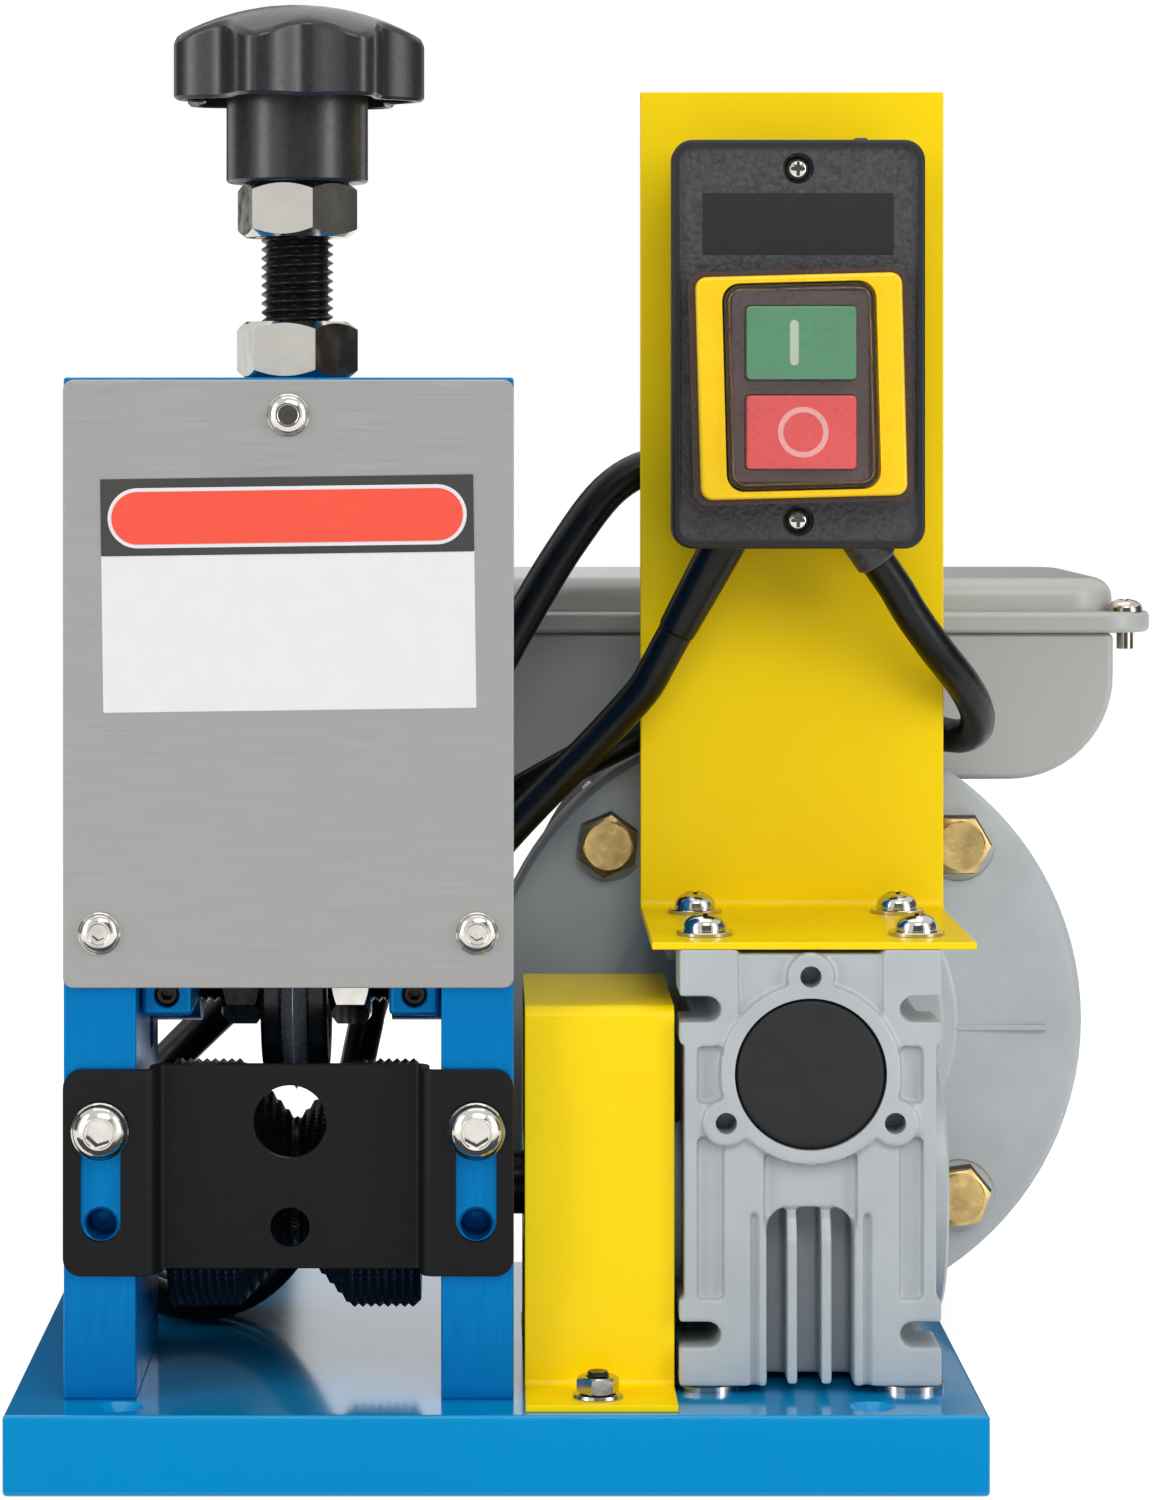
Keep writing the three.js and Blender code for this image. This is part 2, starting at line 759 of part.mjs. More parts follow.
function sidePlate(side) {
  const [x0, x1] = side < 0 ? [headLeftX, leftInnerX] : [rightInnerX, headRightX];
  const inner = side < 0 ? leftInnerX : rightInnerX;
  const shape = roundedShape((headFrontY + headBackY) / 2, (baseThick + plateTopZ) / 2,
    headDepth, plateTopZ - baseThick, plateChamfer);
  const plate = push(shape, 'x', x0, x1, plateChamfer, plainCornerSteps);
  const keySlot = block(
    [Math.min(inner, inner + side * (guideKeyDepth + fitGap)), Math.max(inner, inner + side * (guideKeyDepth + fitGap))]
      .map((x, i) => x + (i === (side < 0 ? 1 : 0) ? -side * overrun : 0)),
    [workY - guideKeyWidth / 2 - fitGap, workY + guideKeyWidth / 2 + fitGap],
    [guideKeyBottom, plateTopZ + overrun]);
  const bearingBore = rod('x', bearingHubRadius + fitGap, x0 - overrun, x1 + overrun, workY, rollerZ);
  const cover = coverScrewPlaces()[side < 0 ? 'left' : 'right'];
  const guideX = headX + side * guideSlotSpread;
  return cut(plate, keySlot, bearingBore,
    screwHole(...cover, coverScrewShank, coverScrewLength),
    screwHole(guideX, guideScrewZ, guideScrewShank, guideScrewLength),
    screwHole(guideX, spareHoleZ, spareHoleRadius - fitGap, spareHoleDepth));
}
place('left_side_plate', sidePlate(-1), blueAnodised);
place('right_side_plate', sidePlate(1), blueAnodised);

function headTopPlate() {
  const shape = roundedShape(headX, (headFrontY + headBackY) / 2, headWidth, headDepth, plateChamfer);
  const plate = push(shape, 'z', plateTopZ, headTop, plateChamfer, plainCornerSteps);
  const bore = rod('z', screwRadius + fitGap, plateTopZ - overrun, headTop + overrun, headX, workY);
  const [x, z] = coverScrewPlaces().top;
  return cut(plate, bore, screwHole(x, z, coverScrewShank, coverScrewLength));
}
place('head_top_plate', headTopPlate(), blueAnodised);

function frontCover() {
  const top = headTop - coverDrop;
  const shape = roundedShape(headX, (coverBottom + top) / 2, headWidth, top - coverBottom, coverCorner);
  const sheet = push(shape, 'y', headFrontY - coverThick, headFrontY, 0, cornerSteps);
  const holes = Object.values(coverScrewPlaces()).map(([x, z]) =>
    screwHole(x, z, coverScrewShank, coverScrewLength));
  return cut(sheet, ...holes);
}
place('front_cover', frontCover(), brushedSteel);

for (const [side, [x, z]] of Object.entries(coverScrewPlaces())) {
  const screw = buttonScrew(x, z, headFrontY - coverThick, coverScrewHead, coverScrewHeadHeight,
    coverScrewShank, coverScrewLength);
  place(`cover_screw_${side}`, screw, brightZinc);
}

// WIRE GUIDE

function wireGuide() {
  const outerY = headFrontY - guideThick / 2;
  const recessY = outerY + guideRecess;
  const bendX = guideCentreWidth / 2 + guideThick / 2;
  const section = bentSheet([
    [headLeftX, outerY], [headX - bendX, outerY], [headX - bendX, recessY],
    [headX + bendX, recessY], [headX + bendX, outerY], [headRightX, outerY],
  ], guideThick, guideBend);
  const sheet = push(section, 'z', guideBottom, guideBottom + guideHeight);
  const face = roundedShape(headX, guideBottom + guideHeight / 2, headWidth, guideHeight, guideCorner);
  const envelope = push(face, 'y', headFrontY - guideThick - overrun, recessY + guideThick + overrun, 0, cornerSteps);
  const through = [headFrontY - guideThick - overrun, recessY + guideThick + overrun];
  const hole = rod('y', guideHoleRadius, ...through, headX, guideHoleZ);
  const smallHole = rod('y', guideSmallHoleRadius, ...through, headX, guideSmallHoleZ, screwSides);
  const slots = [-1, 1].map((side) => push(roundedShape(
    headX + side * guideSlotSpread, (guideSlotBottom + guideSlotTop) / 2,
    guideSlotWidth, guideSlotTop - guideSlotBottom, guideSlotWidth / 2), 'y', ...through, 0, slotEndSteps));
  return cut(sheet.intersect(envelope), hole, smallHole, ...slots);
}
place('wire_guide', wireGuide(), blackSheet);

for (const [side, hand] of [['left', -1], ['right', 1]]) {
  const screw = buttonScrew(headX + hand * guideSlotSpread, guideScrewZ, headFrontY - guideThick - fitGap,
    guideScrewHead, guideScrewHeadHeight, guideScrewShank, guideScrewLength);
  place(`guide_screw_${side}`, screw, brightZinc);
}

// FEED ROLLER: V groove, knurled all round, on its own journals

function feedRoller() {
  const half = (rightInnerX - leftInnerX) / 2 - bearingFlangeThick - rollerEndGap;
  const stations = [
    [-half, rollerRadius - rollerChamfer, 0],
    [-half + rollerChamfer, rollerRadius, 1],
    [-grooveHalfWidth, rollerRadius, 1],
    [-grooveFloorHalfWidth, grooveFloorRadius, 1],
    [grooveFloorHalfWidth, grooveFloorRadius, 1],
    [grooveHalfWidth, rollerRadius, 1],
    [half - rollerChamfer, rollerRadius, 1],
    [half, rollerRadius - rollerChamfer, 0],
  ];
  const sides = knurlCount * 2;
  const places = [];
  const faces = [];
  for (const [along, radius, knurled] of stations) {
    for (let j = 0; j < sides; j++) {
      const angle = 2 * Math.PI * j / sides;
      const r = radius - knurled * knurlDepth * (j % 2);
      places.push(headX + along, workY + r * Math.cos(angle), rollerZ + r * Math.sin(angle));
    }
  }
  const last = (stations.length - 1) * sides;
  for (let i = 0; i < stations.length - 1; i++) {
    for (let j = 0; j < sides; j++) {
      const a = i * sides + j;
      const b = i * sides + (j + 1) % sides;
      faces.push(a, b, b + sides, a, b + sides, a + sides);
    }
  }
  for (let j = 1; j < sides - 1; j++) {
    faces.push(0, j + 1, j, last, last + j, last + j + 1);
  }
  const geometry = new THREE.BufferGeometry();
  geometry.setAttribute('position', new THREE.Float32BufferAttribute(places, 3));
  geometry.setIndex(faces);
  const shoulderLeft = leftInnerX + bearingFlangeThick + fitGap;
  const shoulderRight = rightInnerX - bearingFlangeThick - fitGap;
  const shaft = turned([
    [0, headLeftX + rollerShaftInset], [rollerShaftRadius, headLeftX + rollerShaftInset],
    [rollerShaftRadius, shoulderLeft], [rollerShoulderRadius, shoulderLeft],
    [rollerShoulderRadius, shoulderRight], [rollerShaftRadius, shoulderRight],
    [rollerShaftRadius, rollerEndX], [0, rollerEndX],
  ], 'x', workY, rollerZ);
  return solidOf(geometry).add(shaft);
}
place('feed_roller', feedRoller(), blackOxide);

function rollerBearing(side) {
  const inner = side < 0 ? leftInnerX : rightInnerX;
  const outer = side < 0 ? headLeftX + fitGap : headRightX - fitGap;
  const face = inner - side * bearingFlangeThick;
  const bore = rollerShaftRadius + fitGap;
  return turned([
    [bore, face], [bearingFlangeRadius, face], [bearingFlangeRadius, inner],
    [bearingHubRadius, inner], [bearingHubRadius, outer], [bore, outer], [bore, face],
  ], 'x', workY, rollerZ);
}
place('roller_bearing_left', rollerBearing(-1), blackOxide);
place('roller_bearing_right', rollerBearing(1), blackOxide);

// BLADE CARRIAGE AND ITS BLADE STACK

const bladeFace = bladeThick / 2;
const stackFlangeFace = bladeFace + bladeFlangeThick;
const stackNutFace = stackFlangeFace + fitGap + bladeNutHeight;

function bladeCarriage() {
  const x0 = leftInnerX + fitGap;
  const x1 = rightInnerX - fitGap;
  const armWidth = ((x1 - x0) / 2 - stackNutFace) * carriageArmShare;
  const armLeft = x0 + armWidth;
  const armRight = x1 - armWidth;
  const front = outline([
    [x0, carriageArmBottom], [armLeft - carriageArmChamfer, carriageArmBottom],
    [armLeft, carriageArmBottom + carriageArmChamfer], [armLeft, carriageForkTop],
    [armRight, carriageForkTop], [armRight, carriageArmBottom + carriageArmChamfer],
    [armRight + carriageArmChamfer, carriageArmBottom], [x1, carriageArmBottom],
    [x1, carriageTop], [x0, carriageTop],
  ]);
  const fork = push(front, 'y', carriageFrontY, carriageBackY);
  const bosses = [[x0, armLeft], [armRight, x1]].map(([a, b]) => rod('x', carriageBossRadius, a, b, workY, bladeZ));
  const keys = [[x0 - guideKeyDepth, x0 + overrun], [x1 - overrun, x1 + guideKeyDepth]].map(([a, b]) =>
    block([a, b], [workY - guideKeyWidth / 2, workY + guideKeyWidth / 2], [carriageArmBottom, carriageTop]));
  const shaftHole = rod('x', bladeShaftRadius + fitGap, x0 - guideKeyDepth - overrun, x1 + guideKeyDepth + overrun,
    workY, bladeZ);
  const clampHoles = [x0 + armWidth / 2, x1 - armWidth / 2].map((x) =>
    rod('y', armWidth * clampHoleShare, carriageFrontY - overrun, carriageFrontY + clampHoleDepth, x, bladeZ, smallSides));
  const footWide = screwFootRadius + fitGap;
  const neckWide = screwRadius + fitGap;
  const footSlot = join(
    block([headX - footWide, headX + footWide], [workY, carriageBackY + overrun],
      [screwSlotFloor, screwSlotFloor + screwSlotHeight]),
    rod('z', footWide, screwSlotFloor, screwSlotFloor + screwSlotHeight, headX, workY),
    block([headX - neckWide, headX + neckWide], [workY, carriageBackY + overrun],
      [screwSlotFloor, carriageTop + overrun]),
    rod('z', neckWide, screwSlotFloor, carriageTop + overrun, headX, workY));
  return cut(join(fork, ...bosses, ...keys), shaftHole, ...clampHoles, footSlot);
}
place('blade_carriage', bladeCarriage(), blueAnodised);

const shaftFrom = leftInnerX + fitGap * 2;
const shaftTo = rightInnerX - fitGap * 2;
place('blade_shaft', rod('x', bladeShaftRadius, shaftFrom, shaftTo, workY, bladeZ), blackOxide);

function cuttingBlade() {
  const rim = bladeRadius - bladeEdgeDepth;
  const bore = bladeShaftRadius + fitGap;
  return turned([
    [bore, headX - bladeFace], [rim, headX - bladeFace], [bladeRadius, headX],
    [rim, headX + bladeFace], [bore, headX + bladeFace], [bore, headX - bladeFace],
  ], 'x', workY, bladeZ, fineSides);
}
place('cutting_blade', cuttingBlade(), bladeSteel);

function bladeFlange(side) {
  const bore = bladeShaftRadius + fitGap;
  const inner = headX + side * bladeFace;
  const outer = headX + side * stackFlangeFace;
  return turned([
    [bore, inner], [bladeFlangeRadius, inner], [bladeFlangeRadius, outer], [bore, outer], [bore, inner],
  ], 'x', workY, bladeZ);
}
place('blade_flange_left', bladeFlange(-1), blackOxide);
place('blade_flange_right', bladeFlange(1), blackOxide);

function bladeNut(side) {
  const near = headX + side * (stackFlangeFace + fitGap);
  const far = near + side * bladeNutHeight;
  const [from, to] = [Math.min(near, far), Math.max(near, far)];
  const nut = hexNut('x', bladeNutAcross, from, to, workY, bladeZ, 30);
  return cut(nut, rod('x', bladeShaftRadius + fitGap, from - overrun, to + overrun, workY, bladeZ));
}
place('blade_nut_left', bladeNut(-1), blackOxide);
place('blade_nut_right', bladeNut(1), brightZinc);

// ADJUSTING SCREW, STAR KNOB AND NUTS

const screwFootTop = screwSlotFloor + screwSlotHeight - fitGap;
const knobHeadBottom = jamNutTop + knobHubHeight;
const knobRimTop = knobHeadBottom + knobHeadHeight;

function adjustingScrew() {
  const bottom = screwSlotFloor + fitGap;
  const top = jamNutTop + knobSpigotDepth;
  return turned([
    [0, bottom], [screwFootRadius, bottom], [screwFootRadius, screwFootTop], [screwRadius, screwFootTop],
    [screwRadius, top], [0, top],
  ], 'z', headX, workY);
}
place('adjusting_screw', adjustingScrew(), blackOxide);

function screwNut(bottom, height, turn) {
  const nut = hexNut('z', screwNutAcross, bottom, bottom + height, headX, workY, turn - 90);
  return cut(nut, rod('z', screwRadius + fitGap, bottom - overrun, bottom + height + overrun, headX, workY));
}
place('lock_nut', screwNut(headTop + fitGap, lockNutHeight, lockNutTurn), brightZinc);
place('knob_jam_nut', screwNut(jamNutBottom, jamNutHeight, jamNutTurn), brightZinc);

function starKnob() {
  const steps = knobLobes * knobLobeSteps;
  const points = [];
  for (let i = 0; i < steps; i++) {
    const angle = 2 * Math.PI * i / steps;
    const radius = knobRadius - knobWaveDepth * (1 - Math.cos(knobLobes * angle)) / 2;
    const turn = angle + (knobTurn - 90) * rad;
    points.push([headX + radius * Math.cos(turn), workY + radius * Math.sin(turn)]);
  }
  const lobes = push(outline(points), 'z', knobHeadBottom, knobRimTop + knobDomeHeight);
  const crown = [];
  for (let i = 0; i <= knobDomeSteps; i++) {
    const share = 1 - i / knobDomeSteps;
    crown.push([knobRadius * share, knobRimTop + knobDomeHeight * (1 - share ** 2)]);
  }
  const rim = knobRadius + overrun;
  const dome = turned([
    [0, knobHeadBottom - overrun], [rim, knobHeadBottom - overrun],
    [rim, knobRimTop - 2 * overrun * knobDomeHeight / knobRadius], ...crown,
  ], 'z', headX, workY);
  const head = lobes.intersect(dome);
  const hub = rod('z', knobHubRadius, jamNutTop, knobHeadBottom + knobUnderDepth + overrun, headX, workY);
  const under = turned([
    [knobHubRadius, knobHeadBottom - overrun], [knobUnderRadius, knobHeadBottom - overrun],
    [knobUnderRadius, knobHeadBottom + knobUnderDepth], [knobHubRadius, knobHeadBottom + knobUnderDepth],
    [knobHubRadius, knobHeadBottom - overrun],
  ], 'z', headX, workY);
  const spigot = rod('z', screwRadius + fitGap, jamNutTop - overrun, jamNutTop + knobSpigotDepth + fitGap, headX, workY);
  return cut(join(cut(head, under), hub), spigot);
}
place('star_knob', starKnob(), blackPlastic);

// WORM GEARBOX

function gearboxHousing() {
  const waistLeft = gearLeftX + gearWaistInset;
  const waistRight = gearRightX - gearWaistInset;
  const whole = [gearFrontY, gearBackY];
  let body = block([waistLeft, waistRight], whole, [gearBottomZ, gearTop]);
  for (const y of [[gearFrontY, gearFrontY + lugDepth], [gearBackY - lugDepth, gearBackY]]) {
    body = join(body,
      block([gearLeftX, gearRightX], y, [gearTop - lugUpperHeight, gearTop]),
      block([gearLeftX, gearRightX], y, [gearBottomZ, gearBottomZ + lugLowerHeight]));
    for (const x of [gearLeftX + gearFootRadius, gearRightX - gearFootRadius]) {
      body = body.add(rod('z', gearFootRadius, baseThick, gearBottomZ + overrun, x, (y[0] + y[1]) / 2, smallSides));
    }
  }
  body = body.add(rod('x', outputBossRadius, gearLeftX - outputBossReach, gearX, workY, rollerZ, fineSides));

  const slots = [];
  for (const [edge, inward] of [[gearLeftX, 1], [gearRightX, -1]]) {
    for (const z of [lugSlotUpperZ, lugSlotLowerZ]) {
      const centre = edge + inward * (lugSlotReach - lugSlotHeight);
      const shape = roundedShape(centre - inward * overrun / 2, z,
        2 * (lugSlotReach - lugSlotHeight / 2) - lugSlotHeight + overrun, lugSlotHeight, lugSlotHeight / 2);
      slots.push(push(shape, 'y', gearFrontY - overrun, gearBackY + overrun, 0, slotEndSteps));
    }
  }
  const channels = [-1, 1].flatMap((side) => {
    const x = gearX + side * channelSpread;
    return [[gearBottomZ + lugLowerHeight, channelBandBottom], [channelBandTop, gearTop - lugUpperHeight]].map((z) =>
      block([x - channelWidth / 2, x + channelWidth / 2], [gearFrontY - overrun, gearFrontY + channelDepth], z));
  });
  const wormBore = rod('y', wormBoreRadius, gearFrontY - capRingReach - overrun, gearBackY + overrun, gearX, wormZ);
  const capSeat = rod('y', capRadius + fitGap, gearFrontY - capRingReach - overrun,
    gearFrontY - capProud + capThick, gearX, wormZ);
  const earHoles = capEarPlaces().map(([x, z]) =>
    rod('y', capEarHole, gearFrontY - capRingReach - overrun, gearFrontY + capEarDepth, x, z, smallSides));
  const wheelChamber = rod('x', wheelChamberRadius, gearLeftX + wheelChamberWall, gearRightX + overrun,
    workY, rollerZ, fineSides);
  const hubBore = rod('x', outputHubRadius + fitGap, gearLeftX - outputBossReach - overrun, gearX, workY, rollerZ);
  const screwHoles = bracketScrewPlaces().map(([x, y]) =>
    rod('z', bracketScrewShank + fitGap, gearTop - bracketScrewLength, gearTop + overrun, x, y, smallSides));
  const shell = cut(body, ...slots, ...channels, ribPanel(), ribPocket(), ...ribGrooves(), topPanel(), topRebate());
  return cut(join(shell, ...capRing(), ...pocketRibs()),
    wormBore, capSeat, ...earHoles, wheelChamber, hubBore, ...screwHoles);
}

// The proud ring round the end cap, with its three screw ears
function capRing() {
  const reach = [gearFrontY - capRingReach, gearFrontY + ribPanelDepth + fitGap];
  return [
    rod('y', capRingRadius, ...reach, gearX, wormZ, fineSides),
    ...capEarPlaces().map(([x, z]) => rod('y', capEarRadius, ...reach, x, z, screwSides)),
  ];
}

// Shallow fields cast into the front: one above the ring, one from the ring down to the pocket
function topPanel() {
  const top = gearTop - topPanelRim;
  const field = block([gearX - topPanelWidth / 2, gearX + topPanelWidth / 2],
    [gearFrontY - overrun, gearFrontY + topPanelDepth], [topPanelBottom, top]);
  const pad = block([gearX - topPadWidth / 2, gearX + topPadWidth / 2],
    [gearFrontY - 2 * overrun, gearFrontY + 2 * overrun], [topPanelBottom - overrun, top + overrun]);
  return field.subtract(pad);
}

function ribPanel() {
  return block([gearX - ribPocketWidth / 2, gearX + ribPocketWidth / 2],
    [gearFrontY - overrun, gearFrontY + ribPanelDepth], [ribPocketTop - ribPocketCorner, wormZ - capRadius]);
}

// Narrow grooves that leave a thin wall on each side of the pocket
function ribGrooves() {
  return [-1, 1].map((side) => {
    const near = gearX + side * (ribPocketWidth / 2 + ribWallThick);
    const far = near + side * ribGrooveWidth;
    return block([Math.min(near, far), Math.max(near, far)],
      [gearFrontY - overrun, gearFrontY + ribGrooveDepth], [gearBottomZ - overrun, ribGrooveTop]);
  });
}

// The bracket's foot lies over a shallow step along the middle of the top
function topRebate() {
  return block([gearX - topPanelWidth / 2, gearX + topPanelWidth / 2],
    [gearFrontY - overrun, panelFrontY], [gearTop - topRebateDepth, gearTop + overrun]);
}

function capEarPlaces() {
  return [90, 210, 330].map((angle) => [
    gearX + capEarReach * Math.cos(angle * rad),
    wormZ + capEarReach * Math.sin(angle * rad),
  ]);
}

// The ribbed pocket in the lower half of the gearbox front
function ribPocket() {
  const height = ribPocketTop - gearBottomZ + overrun + ribPocketWidth / 2;
  const shape = roundedShape(gearX, ribPocketTop - height / 2, ribPocketWidth, height, ribPocketCorner);
  return push(shape, 'y', gearFrontY - overrun, gearFrontY + ribPocketDepth, 0, smallCornerSteps);
}

function pocketRibs() {
  return [-1, 1].map((side) => {
    const x = gearX + side * ribSpacing / 2;
    const section = outline([
      [gearFrontY + ribPocketDepth + overrun, gearBottomZ], [gearFrontY, gearBottomZ],
      [gearFrontY, ribPocketTop - ribPocketDepth], [gearFrontY + ribPocketDepth + overrun, ribPocketTop + overrun],
    ]);
    return push(section, 'x', x - ribThick / 2, x + ribThick / 2);
  });
}
place('gearbox_housing', gearboxHousing(), castAluminium);

function gearboxSideCover() {
  const bore = outputHubRadius + fitGap;
  const plug = wheelChamberRadius - fitGap;
  const outer = gearRightX + outputBossReach;
  return turned([
    [bore, gearRightX - sideCoverPlug], [plug, gearRightX - sideCoverPlug], [plug, gearRightX],
    [outputBossRadius, gearRightX], [outputBossRadius, outer], [bore, outer],
    [bore, gearRightX - sideCoverPlug],
  ], 'x', workY, rollerZ, fineSides);
}
place('gearbox_side_cover', gearboxSideCover(), castAluminium);

const capFrontY = gearFrontY - capProud;
place('gearbox_end_cap', bevelledRod('y', capRadius, capFrontY, capFrontY + capThick - fitGap, gearX, wormZ, fitGap),
  blackPlastic);

// WORM PAIR: a one-start worm over a wheel of matching lead

function wormWheel() {
  const pitchStep = 2 * Math.PI / wheelTeeth;
  const flank = Math.tan(toothPressureAngle * rad);
  const halfAtPitch = (wormLead / 2 - toothBacklash / 2) / 2;
  const tipRadius = wheelPitchRadius + toothAddendum;
  const rootRadius = wheelPitchRadius - toothDedendum;
  const halfTip = (halfAtPitch - toothAddendum * flank) / tipRadius;
  const halfRoot = (halfAtPitch + toothDedendum * flank) / rootRadius;
  const points = [];
  for (let i = 0; i < wheelTeeth; i++) {
    const middle = Math.PI / 2 + i * pitchStep;
    for (const [radius, offset] of [
      [rootRadius, -halfRoot], [tipRadius, -halfTip], [tipRadius, halfTip], [rootRadius, halfRoot],
    ]) {
      points.push([radius * Math.cos(middle + offset), radius * Math.sin(middle + offset)]);
    }
  }
  const geometry = new THREE.ExtrudeGeometry(outline(points), { depth: wheelWidth, bevelEnabled: false });
  const vertices = geometry.attributes.position;
  const leadSlope = wormLead / (2 * Math.PI * wormPitchRadius);
  for (let i = 0; i < vertices.count; i++) {
    const along = vertices.getZ(i) - wheelWidth / 2;
    const twist = along * leadSlope / wheelPitchRadius;
    const [u, v] = [vertices.getX(i), vertices.getY(i)];
    vertices.setXYZ(i, gearX + along,
      workY + u * Math.cos(twist) - v * Math.sin(twist),
      rollerZ + u * Math.sin(twist) + v * Math.cos(twist));
  }
  const hub = rod('x', outputHubRadius, gearLeftX - outputBossReach, gearRightX + outputBossReach, workY, rollerZ);
  const stub = rod('x', rollerShaftRadius, stubEndX, gearX, workY, rollerZ);
  return join(solidOf(geometry), hub, stub);
}
place('worm_wheel', wormWheel(), bronze);

function wormShaft() {
  const rootRadius = wormPitchRadius - toothDedendum;
  const tipRadius = wormPitchRadius + toothAddendum;
  const flank = Math.tan(toothPressureAngle * rad);
  const halfAtPitch = (wormLead / 2 - toothBacklash / 2) / 2;
  const halfTip = halfAtPitch - toothAddendum * flank;
  const sunkRadius = rootRadius - toothBacklash;
  const halfSunk = halfAtPitch + (toothDedendum + toothBacklash) * flank;
  const turns = Math.floor((wormLength - wormLead) / wormLead);
  const steps = turns * wormTurnSteps;
  const places = [];
  const faces = [];
  for (let i = 0; i <= steps; i++) {
    const angle = 2 * Math.PI * i / wormTurnSteps;
    const middle = workY + wormLead * (i / wormTurnSteps - turns / 2);
    for (const [radius, offset] of [
      [sunkRadius, -halfSunk], [tipRadius, -halfTip], [tipRadius, halfTip], [sunkRadius, halfSunk],
    ]) {
      places.push(gearX + radius * Math.sin(angle + turns * Math.PI), middle + offset,
        wormZ + radius * Math.cos(angle + turns * Math.PI));
    }
  }
  for (let i = 0; i < steps; i++) {
    for (let j = 0; j < 4; j++) {
      const a = 4 * i + j;
      const b = 4 * i + (j + 1) % 4;
      faces.push(a, b, b + 4, a, b + 4, a + 4);
    }
  }
  faces.push(0, 2, 1, 0, 3, 2);
  faces.push(4 * steps, 4 * steps + 1, 4 * steps + 2, 4 * steps, 4 * steps + 2, 4 * steps + 3);
  const geometry = new THREE.BufferGeometry();
  geometry.setAttribute('position', new THREE.Float32BufferAttribute(places, 3));
  geometry.setIndex(faces);
  const wormFront = workY - wormLength / 2;
  const wormBack = workY + wormLength / 2;
  const hubEnd = wormBack + wormHubLength;
  const shaft = turned([
    [0, wormFront - wormJournalLength], [wormJournalRadius, wormFront - wormJournalLength],
    [wormJournalRadius, wormFront], [rootRadius, wormFront], [rootRadius, wormBack],
    [wormHubRadius, wormBack], [wormHubRadius, hubEnd], [wormHubBore, hubEnd],
    [wormHubBore, hubEnd - wormHubBoreDepth], [0, hubEnd - wormHubBoreDepth],
  ], 'y', gearX, wormZ, wormTurnSteps);
  return shaft.add(solidOf(geometry));
}
place('worm_shaft', wormShaft(), bladeSteel);

// SHAFT COUPLING AND ITS COVER

function shaftCoupling() {
  const from = headRightX + couplingGap;
  const to = gearLeftX - outputBossReach - fitGap;
  const sleeve = bevelledRod('x', couplingRadius, from, to, workY, rollerZ, fitGap);
  const bore = rollerShaftRadius + fitGap;
  return cut(sleeve,
    rod('x', bore, from - overrun, rollerEndX + fitGap, workY, rollerZ),
    rod('x', bore, stubEndX - fitGap, to + overrun, workY, rollerZ));
}
place('shaft_coupling', shaftCoupling(), blackOxide);

function couplingCover() {
  const [front, rear] = [frontY + guardFront + guardThick / 2, frontY + guardRear - guardThick / 2];
  const top = guardTop - guardThick / 2;
  const foot = baseThick + guardThick / 2;
  const section = bentSheet([
    [front - guardFootReach, foot], [front, foot], [front, top],
    [rear, top], [rear, foot], [rear + guardFootReach, foot],
  ], guardThick, guardBend);
  const [left, right] = [headRightX + guardHeadGap, gearLeftX - guardGearGap];
  const guardX = (left + right) / 2;
  const sheet = push(section, 'x', left, right);
  const holes = [front - guardFootHoleReach, rear + guardFootHoleReach].map((y) =>
    rod('z', guardFootHole, baseThick - overrun, baseThick + guardThick + overrun, guardX, y, smallSides));
  const bossNotch = rod('x', outputBossRadius + fitGap * 2, gearLeftX - outputBossReach - fitGap * 2, gearX,
    workY, rollerZ);
  return cut(sheet, ...holes, bossNotch);
}
place('coupling_cover', couplingCover(), yellowPaint);

// INPUT FLANGE AND MOTOR

function flangeBoltPlaces() {
  return [45, 135, 225, 315].map((angle) => [
    gearX + flangeBoltCircle * Math.cos(angle * rad),
    wormZ + flangeBoltCircle * Math.sin(angle * rad),
  ]);
}

function inputFlange() {
  const disc = turned([
    [flangeBore, gearBackY], [flangeNeckRadius, gearBackY],
    [flangeNeckRadius + flangeConeStep, flangeFrontY - flangeConeStep / 2],
    [flangeConeRadius, flangeFrontY], [flangeRadius, flangeFrontY + flangeRimBevel],
    [flangeRadius, flangeBackY], [flangeBore, flangeBackY], [flangeBore, gearBackY],
  ], 'y', gearX, wormZ, rimSides);
  const rib = block([gearX + flangeNeckRadius, gearX + flangeConeRadius],
    [flangeFrontY - flangeConeStep / 2, flangeFrontY + overrun],
    [wormZ - flangeRibDrop - flangeRibThick / 2, wormZ - flangeRibDrop + flangeRibThick / 2]);
  const spots = flangeBoltPlaces().map(([x, z]) =>
    rod('y', flangeBoltSpot, gearBackY - overrun, flangeFrontY, x, z, screwSides));
  const holes = flangeBoltPlaces().map(([x, z]) =>
    rod('y', flangeBoltRadius + fitGap, flangeFrontY - overrun, flangeBackY + overrun, x, z, smallSides));
  return cut(join(disc, rib), ...spots, ...holes);
}
place('input_flange', inputFlange(), castAluminium);

flangeBoltPlaces().forEach(([x, z], i) => {
  const head = hexNut('y', flangeBoltAcross, flangeFrontY - flangeBoltHeadHeight,
    flangeFrontY, x, z, i * flangeBoltTurnStep, false);
  const shank = rod('y', flangeBoltRadius, flangeFrontY - fitGap, flangeFrontY + flangeBoltLength - flangeBoltHeadHeight,
    x, z, smallSides);
  place(`flange_bolt_${i + 1}`, head.add(shank), yellowZinc);
});

